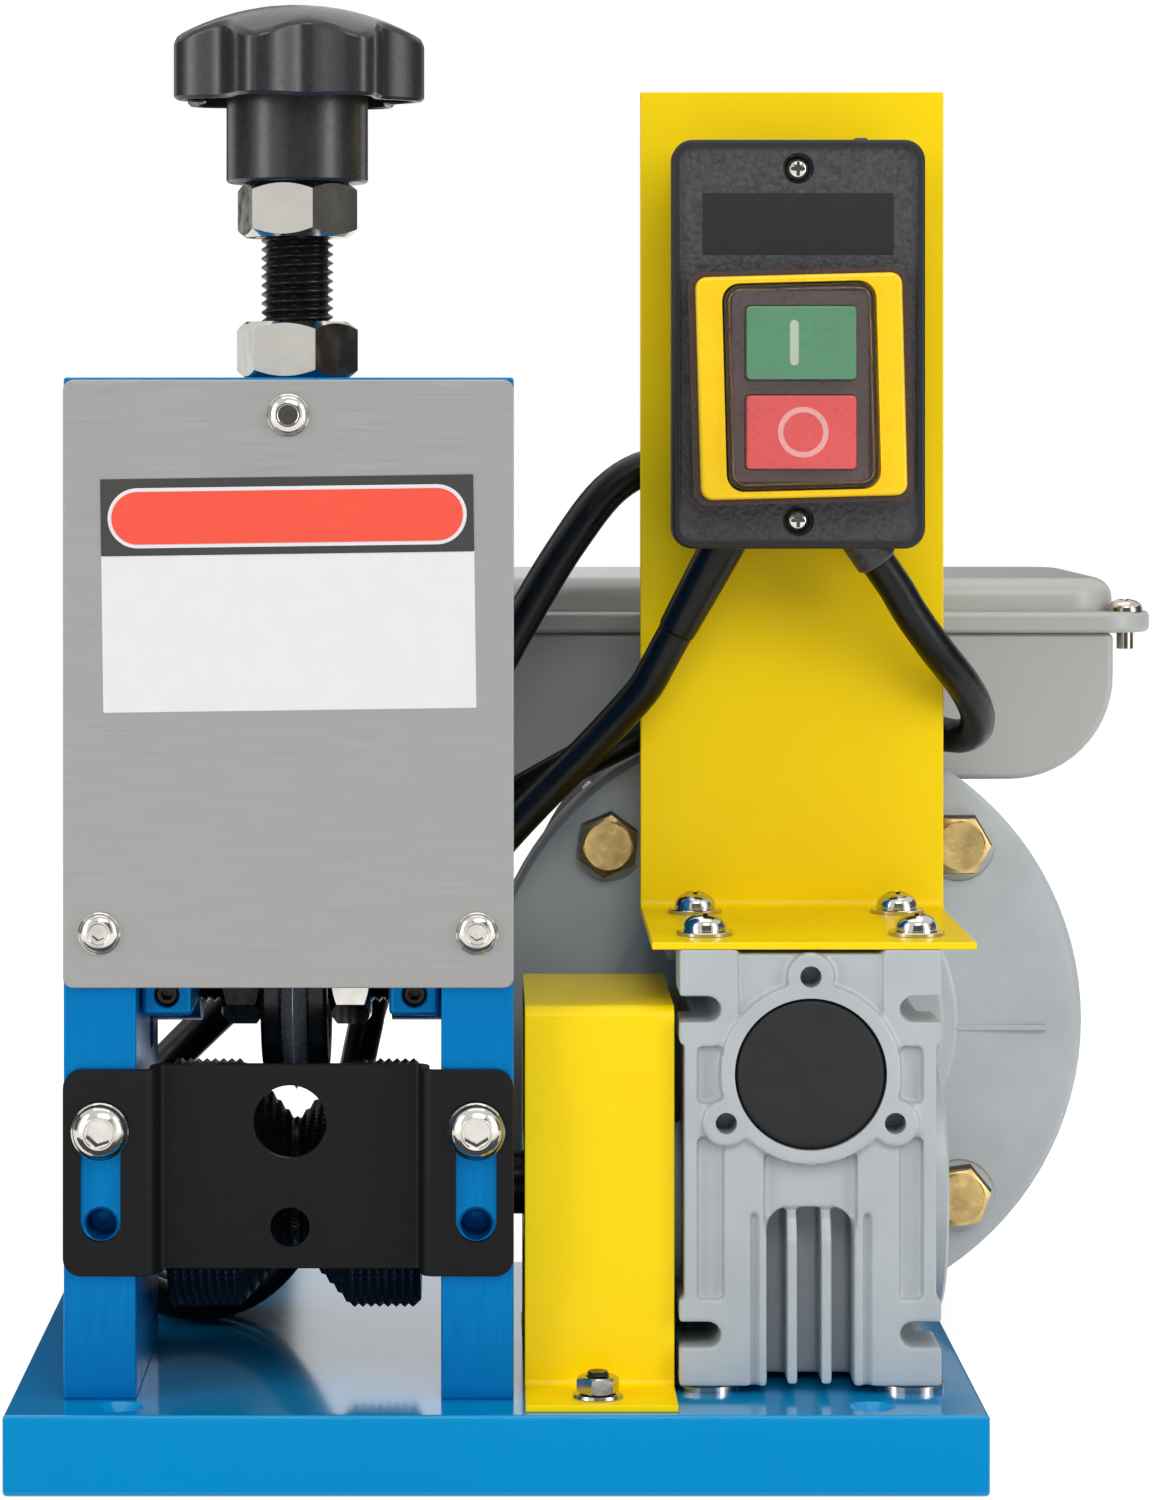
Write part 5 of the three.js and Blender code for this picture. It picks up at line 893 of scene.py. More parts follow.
def wire_guide():
    low, high = span("wire_guide")
    thick = 2
    outer = HEAD_FRONT - thick / 2
    recess = outer + CHANNEL_DEEP
    bend = CHANNEL_WIDE / 2 + thick / 2
    front, back = low.y - OVER, high.y + OVER
    section = bent([
        (low.x, outer), (HEAD_X - bend, outer), (HEAD_X - bend, recess),
        (HEAD_X + bend, recess), (HEAD_X + bend, outer), (high.x, outer)], thick, 1.2, 8)
    sheet = bevelled(prism(section, "z", low.z, high.z), 0.25, 2)
    envelope = panel(HEAD_X, (low.z + high.z) / 2, high.x - low.x, high.z - low.z, 4, front, back)
    holes = [rod("y", radius, front, back, HEAD_X, z) for radius, z in WIRE_HOLES]
    slots = [
        panel(HEAD_X + hand * SLOT_SPREAD, SLOT_Z, SLOT_WIDE, SLOT_HIGH, 4.29, front, back, 10)
        for hand in (-1, 1)]
    stands_for("wire_guide", carved(common(sheet, envelope), *holes, *slots), SHEET)
    for side, hand in SIDES:
        x = HEAD_X + hand * SLOT_SPREAD
        screw = socket_screw(x, low.y - TOUCH, GUIDE_SCREW_Z, 6.15, 4.2, 3.9, 14, 5, 25 + hand * 7)
        stands_for("guide_screw_" + side, screw, ZINC)


# ROLLER, BLADE AND CARRIAGE

ROLLER_RADIUS = 27.4
ROLLER_HALF = 27.75
GROOVE_HALF = 12.2
GROOVE_FLOOR = 14.6
KNURL_ROWS = 29
KNURL_TEETH = 88
KNURL_DEPTH = 0.75


def feed_roller():
    """Rows of knurl teeth round the rim and down both flanks of the V groove, on one shaft."""
    low, high = span("feed_roller")
    inner_left = span("left_side_plate")[1].x + 3.3
    inner_right = span("right_side_plate")[0].x - 3.3
    left, right = HEAD_X - ROLLER_HALF, HEAD_X + ROLLER_HALF
    shoulder = ROLLER_RADIUS - 1.6
    stations = [
        (low.x, 0, 0), (low.x, 6.4, 0), (low.x + 0.6, JOURNAL, 0), (inner_left, JOURNAL, 0),
        (inner_left, ROLLER_HUB, 0), (left, ROLLER_HUB, 0), (left, shoulder, 0)]
    steps = KNURL_ROWS * 4
    for i in range(steps + 1):
        across = (2 * i / steps - 1) * (ROLLER_HALF - 0.9)
        slope = min(1, max(0, (abs(across) - 0.6) / (GROOVE_HALF - 0.6)))
        radius = GROOVE_FLOOR + (ROLLER_RADIUS - GROOVE_FLOOR) * slope
        stations.append((HEAD_X + across, radius, 1 - abs(i % 4 - 2) / 2))
    stations += [
        (right, shoulder, 0), (right, ROLLER_HUB, 0), (inner_right, ROLLER_HUB, 0),
        (inner_right, JOURNAL, 0), (high.x - 0.6, JOURNAL, 0), (high.x, 6.4, 0), (high.x, 0, 0)]
    rows = []
    for i, (along, radius, crest) in enumerate(stations):
        depth = KNURL_DEPTH if 7 < i < len(stations) - 7 else 0
        radii = [max(0, radius - depth * (1 - min(crest, tooth))) for tooth in (1, 0.5, 0)]
        rows.append(ring("x", along, WORK_Y, ROLLER_Z, radii * KNURL_TEETH))
    stands_for("feed_roller", lofted(rows), OXIDE)


def roller_bearing(side, hand):
    node = "roller_bearing_" + side
    low, high = span(node)
    face, outer = (low.x, high.x) if hand > 0 else (high.x, low.x)
    step = face + hand * 3
    races = turned([
        (7.3, face), (19.2, face), (20, face + hand * 0.8), (20, step), (13, step), (13, outer), (7.3, outer),
        (7.3, face)], "x", WORK_Y, ROLLER_Z)
    groove = band("x", 11, 15.5, face - hand, face + hand * 0.7, WORK_Y, ROLLER_Z)
    stands_for(node, carved(races, groove), STEEL)


def blade_carriage():
    low, high = span("blade_carriage")
    x0, x1 = low.x + KEY_HALF, high.x - KEY_HALF
    arm, bottom, fork, top = 11, 97.6, 131, high.z
    y0, y1 = low.y, high.y
    arms = ((x0, x0 + arm), (x1 - arm, x1))
    foot = (137, 144)
    slot = (137, top + OVER)
    bridge = slab((x0, x1), (y0, y1), (fork, top), 0.8)
    added = [slab(x, (y0, y1), (bottom, top), 1.2) for x in arms]
    added += [rod("x", 10, *x, WORK_Y, BLADE_Z) for x in arms]
    added += [block(x, (WORK_Y - KEY_HALF, WORK_Y + KEY_HALF), (bottom, top))
              for x in ((low.x, x0 + OVER), (x1 - OVER, high.x))]
    cuts = [rod("x", BLADE_BORE, low.x - OVER, high.x + OVER, WORK_Y, BLADE_Z)]
    clamps = (x0 + arm / 2, x1 - arm / 2)
    cuts += [sunk_hole("y", x, BLADE_Z, 2.6, 2.9, 24, y0, 1, 0.4) for x in clamps]
    for half, z in ((12.3, foot), (ADJUSTER_BORE, slot)):
        cuts.append(block((HEAD_X - half, HEAD_X + half), (WORK_Y, y1 + OVER), z))
        cuts.append(rod("z", half, *z, HEAD_X, WORK_Y))
    stands_for("blade_carriage", carved(joined(bridge, *added), *cuts), BLUE)
    for side, x in zip(("left", "right"), clamps):
        screw = eased_rod("y", 2.5, y0 + 1.2, y0 + 15, x, BLADE_Z, 0.4, SMALL)
        socket = prism(hexagon(2.5, x, BLADE_Z, 0), "y", y0, y0 + 4)
        piece("clamp_set_screw_" + side, carved(screw, socket), OXIDE, "carriage")


def blade_stack():
    low, high = span("blade_shaft")
    stands_for("blade_shaft", thread("x", 6, 5.2, 1.75, low.x, high.x, WORK_Y, BLADE_Z), OXIDE)
    low, high = span("cutting_blade")
    radius = (high.z - low.z) / 2
    stands_for("cutting_blade", turned([
        (BLADE_BORE, low.x), (radius - 6, low.x), (radius - 5, low.x + 0.25), (radius - 0.15, HEAD_X - 0.06),
        (radius - 0.15, HEAD_X + 0.06), (radius - 5, high.x - 0.25), (radius - 6, high.x),
        (BLADE_BORE, high.x), (BLADE_BORE, low.x)], "x", WORK_Y, BLADE_Z, FINE), STEEL)
    rim = 21
    for side, hand in SIDES:
        node = "blade_flange_" + side
        low, high = span(node)
        inner, outer = (low.x, high.x) if hand > 0 else (high.x, low.x)
        stands_for(node, turned([
            (BLADE_BORE, inner), (rim - 0.4, inner), (rim, inner + hand * 0.4), (rim, outer - hand * 0.9),
            (rim - 0.9, outer), (14.5, outer), (13.8, outer - hand * 0.6),
            (BLADE_BORE, outer - hand * 0.6), (BLADE_BORE, inner)], "x", WORK_Y, BLADE_Z), OXIDE)
        node = "blade_nut_" + side
        low, high = span(node)
        nut = hex_nut("x", 19, low.x, high.x, WORK_Y, BLADE_Z, 30, BLADE_BORE)
        stands_for(node, nut, OXIDE if hand < 0 else ZINC)


# ADJUSTING SCREW AND KNOB

KNOB_LOBES = 7
KNOB_TURN = -18
KNOB_RADIUS = 28.5
KNOB_WAVE = 5.8
HUB_RADIUS = 15.8


def adjusting_screw():
    low, high = span("adjusting_screw")
    foot_top = low.z + 6.4
    screw = thread("z", 8, 6.85, 2, foot_top - 1, high.z, HEAD_X, WORK_Y)
    foot = eased_rod("z", 12, low.z, foot_top, HEAD_X, WORK_Y, 0.5)
    stands_for("adjusting_screw", joined(foot, screw), OXIDE)
    for node, turn in (("lock_nut", 19), ("knob_jam_nut", 16.5)):
        low, high = span(node)
        stands_for(node, hex_nut("z", 24, low.z, high.z, HEAD_X, WORK_Y, turn - 90, ADJUSTER_BORE), ZINC)


def star_knob():
    """A lobed rim under a shallow dome, hollow below, on a plain round hub."""
    low, high = span("star_knob")
    bottom = low.z + 18
    dome = 54.4

    def dome_z(radius):
        return high.z - (dome - math.sqrt(dome ** 2 - radius ** 2))

    def section(lobe):
        """From the bore out over the hub and the hollow rim to the middle of the dome."""
        shares = (0.93, 0.86, 0.76, 0.64, 0.5, 0.34, 0.16)
        return [
            (0, low.z + 14.3), (ADJUSTER_BORE, low.z + 14.3), (ADJUSTER_BORE, low.z + 0.5),
            (8.8, low.z),
            (HUB_RADIUS - 0.5, low.z), (HUB_RADIUS, low.z + 0.5), (HUB_RADIUS, bottom + 6.4),
            (HUB_RADIUS + 0.6, bottom + 7),
            (lobe - 2.8, bottom + 7), (lobe - 2.2, bottom + 6.4), (lobe - 2.2, bottom + 0.4),
            (lobe - 1.8, bottom), (lobe - 0.7, bottom), (lobe, bottom + 0.7), (lobe, dome_z(lobe) - 1.5),
            (lobe - 0.25, dome_z(lobe) - 0.7), (lobe - 0.8, dome_z(lobe - 0.8) - 0.15),
            *[(lobe * share, dome_z(lobe * share)) for share in shares], (0, high.z)]

    sides = KNOB_LOBES * 24
    columns = []
    for j in range(sides):
        angle = 2 * math.pi * j / sides
        turn = angle + math.radians(KNOB_TURN - 90)
        lobe = KNOB_RADIUS - KNOB_WAVE * (1 - math.cos(KNOB_LOBES * angle)) / 2
        columns.append([(HEAD_X + radius * math.cos(turn), WORK_Y + radius * math.sin(turn), z)
                        for radius, z in section(lobe)])
    stands_for("star_knob", lofted(list(zip(*columns))), KNOB)


# COUPLING AND ITS COVER

COVER_FRONT, COVER_REAR = 22.5, 81.6
STUD_X = 21.6
STUD_REACH = 12.5


def coupling_cover():
    low, high = span("coupling_cover")
    thick = 1.5
    front, rear = FRONT_Y + COVER_FRONT + thick / 2, FRONT_Y + COVER_REAR - thick / 2
    foot, top = BASE_TOP + thick / 2, high.z - thick / 2
    section = bent([
        (low.y, foot), (front, foot), (front, top), (rear, top), (rear, foot), (high.y, foot)], thick, 1.5, 8)
    sheet = bevelled(prism(section, "x", low.x, high.x), 0.3, 2)
    studs = (front - STUD_REACH, rear + STUD_REACH)
    holes = rods("z", 2.8, BASE_TOP - OVER, BASE_TOP + 5, [(STUD_X, y) for y in studs])
    boss = rod("x", 28.6, span("gearbox_housing")[0].x - 0.6, high.x + 5, WORK_Y, ROLLER_Z)
    stands_for("coupling_cover", carved(sheet, *holes, boss), YELLOW)
    seat = BASE_TOP + thick
    for name, y in zip(("front", "rear"), studs):
        washer = turned([
            (2.8, seat), (5.2, seat), (5.4, seat + 0.3), (5.2, seat + 0.9), (2.8, seat + 0.9), (2.8, seat),
        ], "z", STUD_X, y, SMALL)
        piece("cover_washer_" + name, washer, ZINC)
        piece("cover_nut_" + name, hex_nut("z", 8, seat + 1, seat + 4.6, STUD_X, y, 12, 2.55), ZINC)
        stud = thread("z", 2.5, 2.1, 0.8, BASE_TOP - 6, seat + 5.6, STUD_X, y, 24, 6)
        piece("cover_stud_" + name, stud, OXIDE)


# GEARBOX

GEAR_HALF = 28.1
GEAR_SETBACK = 19.4
FRAME_DEEP = 18
EAR_REACH = 20.9
EAR_RADIUS = 5.05
SEAT_RADIUS = 19.4
SEAT_PROUD = 1.2
EARS = [(GEAR_X + EAR_REACH * math.cos(math.radians(a)), WORM_Z + EAR_REACH * math.sin(math.radians(a)))
        for a in (90, 210, 330)]
BRACKET_SCREWS = [(68.5 + side * 23, FRONT_Y + setback) for side in (-1, 1) for setback in (34, 78)]


def on_worm(profile):
    """Turned round the worm's and the motor's common axis."""
    return turned(profile, "y", GEAR_X, WORM_Z, FINE)


def gearbox():
    high = span("gearbox_housing")[1]
    left, right = GEAR_X - GEAR_HALF, GEAR_X + GEAR_HALF
    front, back = FRONT_Y + GEAR_SETBACK, high.y
    bottom, top = BASE_TOP + 1.8, high.z
    waist = 1.1
    upper, lower = top - 20, bottom + 18.4
    deep_top = 57
    feet = (left + 6, right - 6)

    def field(x, z, wide, tall, corner, depth):
        """A cutter for a sunk field of the front face."""
        return panel(x, z, wide, tall, corner, front - OVER, front + depth)

    body = block((left + waist, right - waist), (front, back), (bottom, top))
    for y in ((front, front + FRAME_DEEP), (back - FRAME_DEEP, back)):
        body = joined(
            body, block((left, right), y, (upper, top)), block((left, right), y, (bottom, lower)),
            *rods("z", 6, BASE_TOP, bottom + OVER, [(x, sum(y) / 2) for x in feet]))
    cuts = [block(x, (front + FRAME_DEEP, back - FRAME_DEEP), (bottom + 6, top - 6))
            for x in ((left - OVER, left + 3.2), (right - 3.2, right + OVER))]
    for edge, inward in ((left, 1), (right, -1)):
        centre = edge + inward * (8.9 - 5.4) - inward * OVER / 2
        cuts += [panel(centre, z, 10.8 + OVER, 5.4, 2.69, front - OVER, back + OVER, 8) for z in (99.7, 30)]
    cuts += [field((x0 + x1) / 2, (z0 + z1) / 2, x1 - x0, z1 - z0, 1.1, 1.9)
             for x0, x1 in ((43.2, 48.9), (86.4, 91.4)) for z0, z1 in ((37.4, 72.4), (79.5, 91.8))]
    cuts += [field(GEAR_X + hand * 12.1, 34, 1.7, 44, 0.8, 1.3) for hand in (-1, 1)]
    cuts += [
        field(GEAR_X, 100.8, 31.2, 25, 0.8, 1.1),
        block((GEAR_X - 15.7, GEAR_X + 15.7), (front - OVER, front + 52), (top - 0.9, top + OVER)),
        field(GEAR_X, 45, 20, 54, 2.5, 2.2),
        panel(GEAR_X, (bottom + deep_top) / 2 - 6, 18.4, deep_top - bottom + 12, 4.7, front, front + 14, 8)]
    raised = [rod("y", SEAT_RADIUS, front - SEAT_PROUD, front + OVER, GEAR_X, WORM_Z)]
    raised += rods("y", EAR_RADIUS, front - SEAT_PROUD, front + OVER, EARS)
    for offset, thick in ((-10.2, 1.7), (-3.9, 2.2), (3.5, 2.2), (10.2, 1.7)):
        start = front - 0.2 if abs(offset) > 10 else front
        section = [
            (front + 15, bottom + 0.4), (start, bottom + 0.4), (start, deep_top - 7),
            (start + 1.4, deep_top - 2.4), (start + 4.2, deep_top), (front + 15, deep_top + 2)]
        raised.append(prism(section, "x", GEAR_X + offset - thick / 2, GEAR_X + offset + thick / 2))
    boss = rod("x", 28, left - 3, GEAR_X, WORK_Y, ROLLER_Z, FINE)
    shape = joined(carved(joined(body, boss), *cuts), *raised)
    shape = carved(shape, block((left - 1, right + 1), (front - 5, back + 5), (0, BASE_TOP - 1)))
    melted = cast(shape, 0.55, 3)
    bores = [
        rod("y", 11, front - 5, back + OVER, GEAR_X, WORM_Z),
        rod("y", 16.3, front - 5, front + 4.6, GEAR_X, WORM_Z, FINE),
        rod("x", 25.5, left + 13, right + OVER, WORK_Y, ROLLER_Z, FINE),
        rod("x", 12.8, left - 5, GEAR_X, WORK_Y, ROLLER_Z),
        *rods("y", 2.3, front - 5, front + 9, EARS),
        *rods("z", SCREW_HOLE, top - 9, top + OVER, BRACKET_SCREWS)]
    stands_for("gearbox_housing", carved(melted, *bores), CAST)
    low, high = span("gearbox_side_cover")
    stands_for("gearbox_side_cover", turned([
        (12.8, low.x), (25.2, low.x), (25.2, high.x - 3), (28, high.x - 3), (28, high.x - 0.6),
        (27.4, high.x), (21, high.x), (20.4, high.x - 0.6), (16, high.x - 0.6), (15.4, high.x),
        (12.8, high.x), (12.8, low.x)], "x", WORK_Y, ROLLER_Z, FINE), CAST)
    low, high = span("gearbox_end_cap")
    stands_for("gearbox_end_cap", on_worm([
        (0, low.y + 0.05), (10, low.y + 0.12), (14.6, low.y + 0.35), (15.6, low.y + 0.8), (16, low.y + 1.6),
        (16, high.y), (0, high.y)]), MATT)
    for i, x in enumerate(feet):
        for j, y in enumerate((front + 9, back - 9)):
            washer = band("z", 6.2, 7.6, BASE_TOP, BASE_TOP + 1.2, x, y, SMALL)
            piece(f"foot_washer_{i + 1}{j + 1}", washer, ZINC)


# INPUT FLANGE, BOLTS AND MOTOR

FLANGE_SETBACK = 105.4
BOLT_CIRCLE = 58
BOLT_PLACES = [
    (GEAR_X + BOLT_CIRCLE * math.cos(math.radians(a)), WORM_Z + BOLT_CIRCLE * math.sin(math.radians(a)))
    for a in (45, 135, 225, 315)]
BOLT_TURNS = (0, 23, 46, 69)
BOLT_HOLE = 4.3
BOLT_ACROSS = 12.55
BOLT_RECESS = 13.7
MOTOR_FINS = 40


def input_flange():
    low, high = span("input_flange")
    face = FRONT_Y + FLANGE_SETBACK
    disc = on_worm([
        (20, low.y), (36, low.y), (37.5, low.y + 0.8), (39.6, face - 2.2), (41, face - 1.4), (66, face),
        (68.8, face + 0.5), (70, face + 1.6), (70, high.y - 0.4), (69.6, high.y), (20, high.y), (20, low.y)])
    rib = slab((GEAR_X + 36, GEAR_X + 61.5), (face - 1.8, face + OVER), (WORM_Z - 2.35, WORM_Z - 1.05), 0.3)
    bolts = [(x, z, turn) for (x, z), turn in zip(BOLT_PLACES, BOLT_TURNS)]
    spots = rods("y", 8.6, low.y - OVER, face, BOLT_PLACES)
    holes = rods("y", BOLT_HOLE, face - OVER, high.y + OVER, BOLT_PLACES)
    shadows = [prism(hexagon(BOLT_RECESS, *bolt), "y", low.y - OVER, face + 1.6) for bolt in bolts]
    stands_for("input_flange", carved(joined(disc, rib), *spots, *holes, *shadows), CAST)
    for i, (x, z, turn) in enumerate(bolts):
        crown = turned([
            (0, face - 5.6), (5.5, face - 5.6), (5.85, face - 5.3), (5.9, face - 4.9), (7.6, face - 4),
            (7.6, face), (0, face)], "y", x, z)
        head = common(prism(hexagon(BOLT_ACROSS, x, z, turn), "y", face - 6, face), crown)
        shank = rod("y", 4, face - 1, face + 12.7, x, z, SMALL)
        stands_for(f"flange_bolt_{i + 1}", joined(head, shank), BOLT)


def motor():
    low, high = span("motor_housing")
    pitch = 2 * math.pi / MOTOR_FINS
    fin = ((55, -0.5), (55.6, -0.3), (59.8, -0.14), (60, -0.1), (60, 0.1), (59.8, 0.14), (55.6, 0.3))
    corners = [(radius, (i + share) * pitch) for i in range(MOTOR_FINS) for radius, share in fin]
    outline = [(GEAR_X + radius * math.cos(a), WORM_Z + radius * math.sin(a)) for radius, a in corners]
    plate_end = low.y + 9
    body = prism(outline, "y", plate_end - 1, high.y)
    plate = on_worm([
        (0, low.y), (69, low.y), (70, low.y + 1), (70, plate_end - 1.4), (68.6, plate_end), (0, plate_end)])
    cuts = [
        rod("y", 40, low.y + 12, high.y + OVER, GEAR_X, WORM_Z),
        rod("y", 20, low.y - OVER, low.y + 14, GEAR_X, WORM_Z),
        *rods("y", BOLT_HOLE, low.y - OVER, plate_end + OVER, BOLT_PLACES)]
    stands_for("motor_housing", carved(joined(body, plate), *cuts), PAINT)
    low, high = span("motor_end_shield")
    stands_for("motor_end_shield", on_worm([
        (5.8, low.y), (39.7, low.y), (39.7, high.y - 8), (56.2, high.y - 8), (57, high.y - 7.2),
        (57, high.y - 0.8), (56.2, high.y), (5.8, high.y), (5.8, low.y)]), PAINT)
    low, high = span("fan_cowl")
    shell = on_worm([
        (57.3, low.y), (58.8, low.y), (58.8, high.y - 5), (57.6, high.y - 2), (55, high.y - 0.4),
        (52, high.y), (0, high.y), (0, high.y - 1.5), (51.6, high.y - 1.5), (54.4, high.y - 2),
        (56.4, high.y - 3.4), (57.3, high.y - 5.4), (57.3, low.y)])
    slots = []
    for inner, outer, number in ((16, 27, 12), (31, 47, 24)):
        slot = rounded((inner + outer) / 2, 0, outer - inner, 3.6, 1.7, 4)
        for i in range(number):
            angle = 2 * math.pi * (i + 0.5) / number
            cos, sin = math.cos(angle), math.sin(angle)
            placed = [(GEAR_X + u * cos - v * sin, WORM_Z + u * sin + v * cos) for u, v in slot]
            slots.append(prism(placed, "y", high.y - 4, high.y + OVER))
    stands_for("fan_cowl", carved(shell, merged(*slots)), SHEET)


# TERMINAL BOX

TERMINAL_FRONT, TERMINAL_REAR = 135, 235
TUB_CORNER = 25
TUB_WALL = 3
TUB_FLOOR = 150


def terminal_box():
    low, high = span("terminal_box")
    y0, y1 = FRONT_Y + TERMINAL_FRONT, FRONT_Y + TERMINAL_REAR

    def tub(inset, floor_z, top):
        corner = TUB_CORNER - inset
        left, right = low.x + inset, high.x - inset
        outline = [
            (right, top), (left, top), *arc(left + corner, floor_z + corner, corner, 180, 270, 14),
            *arc(right - corner, floor_z + corner, corner, 270, 360, 14)]
        return prism(outline, "y", y0 + inset, y1 - inset)

    shell = bevelled(tub(0, low.z, high.z), 1.6, 4)
    saddle = rod("y", 60.7, y0 - OVER, y1 + OVER, GEAR_X, WORM_Z, FINE)
    gland = turned([
        (0, low.y), (6.2, low.y), (7, low.y + 0.8), (7, y0 - 3), (7, y0 - 2), (7, y0 + 2), (0, y0 + 2)],
        "y", GLAND[0], GLAND[2], SMALL)
    whole = joined(carved(shell, tub(TUB_WALL, TUB_FLOOR, high.z + OVER), saddle), gland)
    stands_for("terminal_box", whole, PLASTIC)
    low, high = span("terminal_box_lid")
    x, y = (low.x + high.x) / 2, (low.y + high.y) / 2
    wide, deep = high.x - low.x, high.y - low.y
    rim = bevelled(panel(x, y, wide, deep, 12, low.z, low.z + 5, 10, "z"), 1.2, 4)
    dome = bevelled(panel(x, y, 166.6, 95, 12, low.z + 1, high.z - 2, 10, "z"), 5, 6)
    lid = common(joined(rim, dome), box_of("terminal_box_lid"))
    ends = [(x + hand * (wide / 2 - 6.4), y) for hand in (-1, 1) for y in (low.y + 7, high.y - 7)]
    holes = rods("z", 2.2, low.z - OVER, low.z + 8, ends)
    stands_for("terminal_box_lid", carved(lid, *holes), PLASTIC)
    for i, (x, y) in enumerate(ends):
        head = cross_screw("z", x, y, low.z + 5, 1, 4.2, 3, 4.6, 0.9, 2, low.z + 5 - 171)
        piece(f"lid_screw_{i + 1}", head, NICKEL)


# SWITCH BRACKET

def switch_bracket():
    low, high = span("switch_bracket")
    thick = 1.6
    foot = low.z + thick / 2
    back = high.y - thick / 2
    section = bent([(low.y, foot), (back, foot), (back, high.z)], thick, 2, 10)
    sheet = bevelled(prism(section, "x", low.x, high.x), 0.35)
    holes = rods("z", SCREW_HOLE, low.z - OVER, low.z + 4, BRACKET_SCREWS)
    stands_for("switch_bracket", carved(sheet, *holes), YELLOW)
    seat = low.z + thick
    washer_top = seat + 0.95
    for i, (x, y) in enumerate(BRACKET_SCREWS):
        washer = turned([
            (2.4, seat), (6, seat), (6.15, seat + 0.15), (6.15, seat + 0.8), (6, washer_top),
            (2.4, washer_top), (2.4, seat)], "z", x, y, SMALL)
        screw = cross_screw("z", x, y, washer_top, 1, 4.6, 3.9, 4.8, 1, 2.4, 8.4)
        stands_for(f"bracket_screw_{i + 1}", joined(screw, washer), ZINC)


# SWITCH

BOX_LOW, BOX_HIGH = span("switch_box")
BOX_X = 67.7
BOX_FRONT = BOX_LOW.y
BOX_BOTTOM, BOX_TOP = 197.3, 288.6
BOX_SCREWS = (203.6, 282.2)
BEZEL_Z = 233.5
BEZEL_TILT = 1.5
FIELD_DEPTH = 0.8
BUTTONS = {"start": 243.1, "stop": 223.3}
BUTTON_WIDE, BUTTON_HIGH = 24.3, 16.3
BUTTON_GAP = 0.6


def tilted(mesh):
    """Turned with the bezel, which sits a little askew on the box."""
    return askew(mesh, BOX_X, BEZEL_Z, -BEZEL_TILT)


def plate(z, wide, high, corner, front, back, steps=8, ease=0, segments=3):
    """A plate in the middle of the switch, its edges eased or left sharp."""
    flat = panel(BOX_X, z, wide, high, corner, front, back, steps)
    return bevelled(flat, ease, segments) if ease else flat


def openings(corner, front, back):
    """Cutters for the two buttons."""
    return [plate(z, BUTTON_WIDE + BUTTON_GAP, BUTTON_HIGH + BUTTON_GAP, corner, front, back, 6)
            for z in BUTTONS.values()]


def switch_box():
    wide, high = 56.5, BOX_TOP - BOX_BOTTOM
    z = (BOX_TOP + BOX_BOTTOM) / 2
    face = BOX_FRONT + FIELD_DEPTH
    lip = plate(z, wide, high, 4.6, BOX_FRONT, BOX_FRONT + 9, 8, 0.9)
    tub = plate(z, wide - 5, high, 4.6, BOX_FRONT + 4, BOX_HIGH.y, 8, 0.9)
    nub = eased_rod("z", 1.65, BOX_TOP - 1, BOX_TOP + 0.7, 82, BOX_FRONT + 6, 0.3, SMALL)
    field = plate(z, wide - 3.6, high - 3.6, 3, BOX_FRONT - 5, face, 8, 0.35, 2)
    wells = rods("y", 3.5, BOX_FRONT - OVER, BOX_FRONT + 3.8, [(BOX_X, screw_z) for screw_z in BOX_SCREWS])
    pockets = openings(1.4, BOX_FRONT - OVER, BOX_FRONT + 14)
    lengths = (-BOOT_RADIUS, COLLAR_LENGTH - 0.6, COLLAR_LENGTH)
    ends = [in_machine(leaning(MOTOR_EXIT, MOTOR_LEAN, length)) for length in lengths]
    collar = tube_along(ends, (BOOT_RADIUS, BOOT_RADIUS, BOOT_RADIUS - 0.5))
    collar = carved(collar, above(BOX_BOTTOM))
    whole = joined(carved(joined(lip, tub, nub), field, *wells, *pockets), collar)
    stands_for("switch_box", whole, PEBBLED)
    rim = plate(z, wide + 0.02, high + 0.02, 4.6, BOX_FRONT - 0.02, BOX_FRONT + 6, 8, 0.9)
    inner = plate(z, wide - 3.4, high - 3.4, 3.1, BOX_FRONT - 5, BOX_FRONT + 9, 8, 0.3, 2)
    piece("switch_rim", carved(rim, inner), MATT)
    piece("switch_plate", panel(BOX_X - 0.1, 269.8, 42.6, 13.7, 0.4, face - 0.15, face), BLANK)
    for name, screw_z in zip(("lower", "upper"), BOX_SCREWS):
        screw = cross_screw("y", BOX_X, screw_z, face + 2.9, -1, 2.7, 1.9, 3.2, 0.8, 1.4, 1.2)
        piece("switch_screw_" + name, screw, ZINC)


